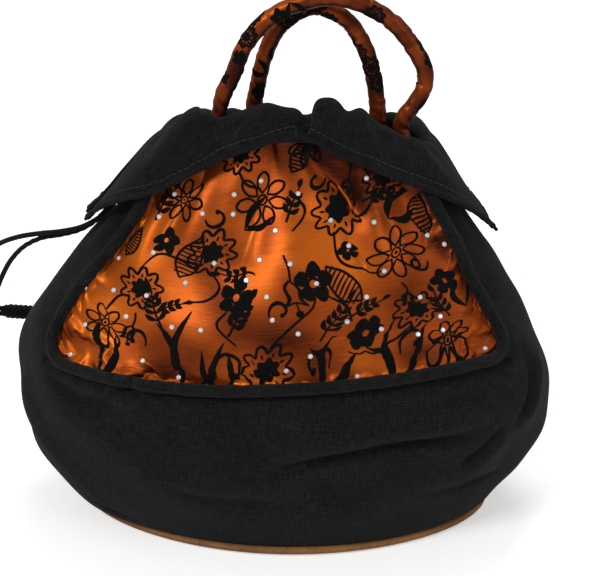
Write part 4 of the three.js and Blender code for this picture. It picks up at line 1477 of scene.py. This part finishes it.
for side, flip in (("front", 1), ("back", -1)):
    surface = Surface(panel_grids[side])
    art = Print(surface)
    panel_print(art, flip)
    flock = art.piece(f"{side}_panel_flock")
    dress(flock)
    stones = stones_piece(f"{side}_panel_stones", surface, stone_places)
    dress(stones)

for side, seed in (("front", 5), ("back", 8)):
    path, radius = handle_rings[side]
    art = Print(TubeSurface(path, radius))
    handle_print(art, seed, path_length(path))
    flock = art.piece(f"{side}_handle_flock")
    dress(flock, rides=f"{side}_handle")


# Hidden frame parts keep their CAD shape and get a real material
for name, finish in (("base_board", BOARD), ("front_handle_core", CORE), ("back_handle_core", CORE)):
    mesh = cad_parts[name].data
    mesh.materials.clear()
    mesh.materials.append(finish)


# Floor, backdrop and light
FLOOR_REACH, FLOOR_HEIGHT = 4000, -0.3
FLOOR_GLOW, FAR_GLOW = 0.4, 0.66
WORLD_LIGHT = 0.42


def for_camera(tree, seen, otherwise):
    """One shader for rays from the camera, and another for all other rays."""
    rays = node(tree, "ShaderNodeLightPath")
    choice = node(tree, "ShaderNodeMixShader")
    tree.links.new(rays.outputs["Is Camera Ray"], choice.inputs["Fac"])
    tree.links.new(otherwise, choice.inputs[1])
    tree.links.new(seen, choice.inputs[2])
    return choice.outputs[0]


def floor_material():
    """A pale floor that the camera sees close to white, with the object's shadow kept."""
    material, tree, shader = new_material("pale_floor", Roughness=0.9, Specular_IOR_Level=0.1)
    place = object_place(tree)
    grain = noise(tree, place, 60.0, 3.0)
    tree.links.new(ramp(tree, grain, (0.3, (0.86, 0.86, 0.86)), (0.7, (0.88, 0.88, 0.88))),
                   shader.inputs["Base Color"])
    glow = node(tree, "ShaderNodeEmission")
    far = node(tree, "ShaderNodeVectorMath", operation="LENGTH")
    tree.links.new(place, far.inputs[0])
    rise = node(tree, "ShaderNodeMapRange")
    limits = {"From Min": 0.3, "From Max": 2.2, "To Min": FLOOR_GLOW, "To Max": FAR_GLOW}
    for socket, value in limits.items():
        rise.inputs[socket].default_value = value
    tree.links.new(far.outputs["Value"], rise.inputs["Value"])
    tree.links.new(rise.outputs[0], glow.inputs["Strength"])
    nothing = node(tree, "ShaderNodeEmission", Strength=0.0)
    both = node(tree, "ShaderNodeAddShader")
    tree.links.new(shader.outputs[0], both.inputs[0])
    tree.links.new(for_camera(tree, glow.outputs[0], nothing.outputs[0]), both.inputs[1])
    tree.links.new(both.outputs[0], tree.nodes["Material Output"].inputs["Surface"])
    return material


corner_ways = ((-1, -1), (1, -1), (1, 1), (-1, 1))
floor_corners = [(x * FLOOR_REACH, y * FLOOR_REACH, FLOOR_HEIGHT) for x, y in corner_ways]
floor = add_mesh("floor", floor_corners, [(0, 1, 2, 3)], None, [floor_material()])

world = bpy.data.worlds.new("studio")
bpy.context.scene.world = world
world.use_nodes = True
tree = world.node_tree
background = tree.nodes["Background"]
seen = node(tree, "ShaderNodeBackground", Color=(1, 1, 1, 1), Strength=1.0)
background.inputs["Color"].default_value = (1.0, 1.0, 1.0, 1)
background.inputs["Strength"].default_value = WORLD_LIGHT
backdrop = for_camera(tree, seen.outputs[0], background.outputs[0])
tree.links.new(backdrop, tree.nodes["World Output"].inputs["Surface"])


def area_light(name, place, aim, size, power):
    data = bpy.data.lights.new(name, "AREA")
    data.shape = "DISK"
    data.size = size
    data.energy = power
    lamp = bpy.data.objects.new(name, data)
    lamp.location = place
    lamp.rotation_euler = (Vector(aim) - Vector(place)).to_track_quat("-Z", "Y").to_euler()
    bpy.context.scene.collection.objects.link(lamp)


MIDDLE = (0.0, 0.0, 0.12)
area_light("key", (-0.75, -1.0, 1.3), MIDDLE, 0.55, 13.0)
area_light("fill", (1.1, -0.7, 0.7), MIDDLE, 0.9, 3.5)
area_light("top", (0.1, 0.5, 1.5), MIDDLE, 0.8, 8.0)

bpy.context.scene.view_settings.view_transform = "Standard"
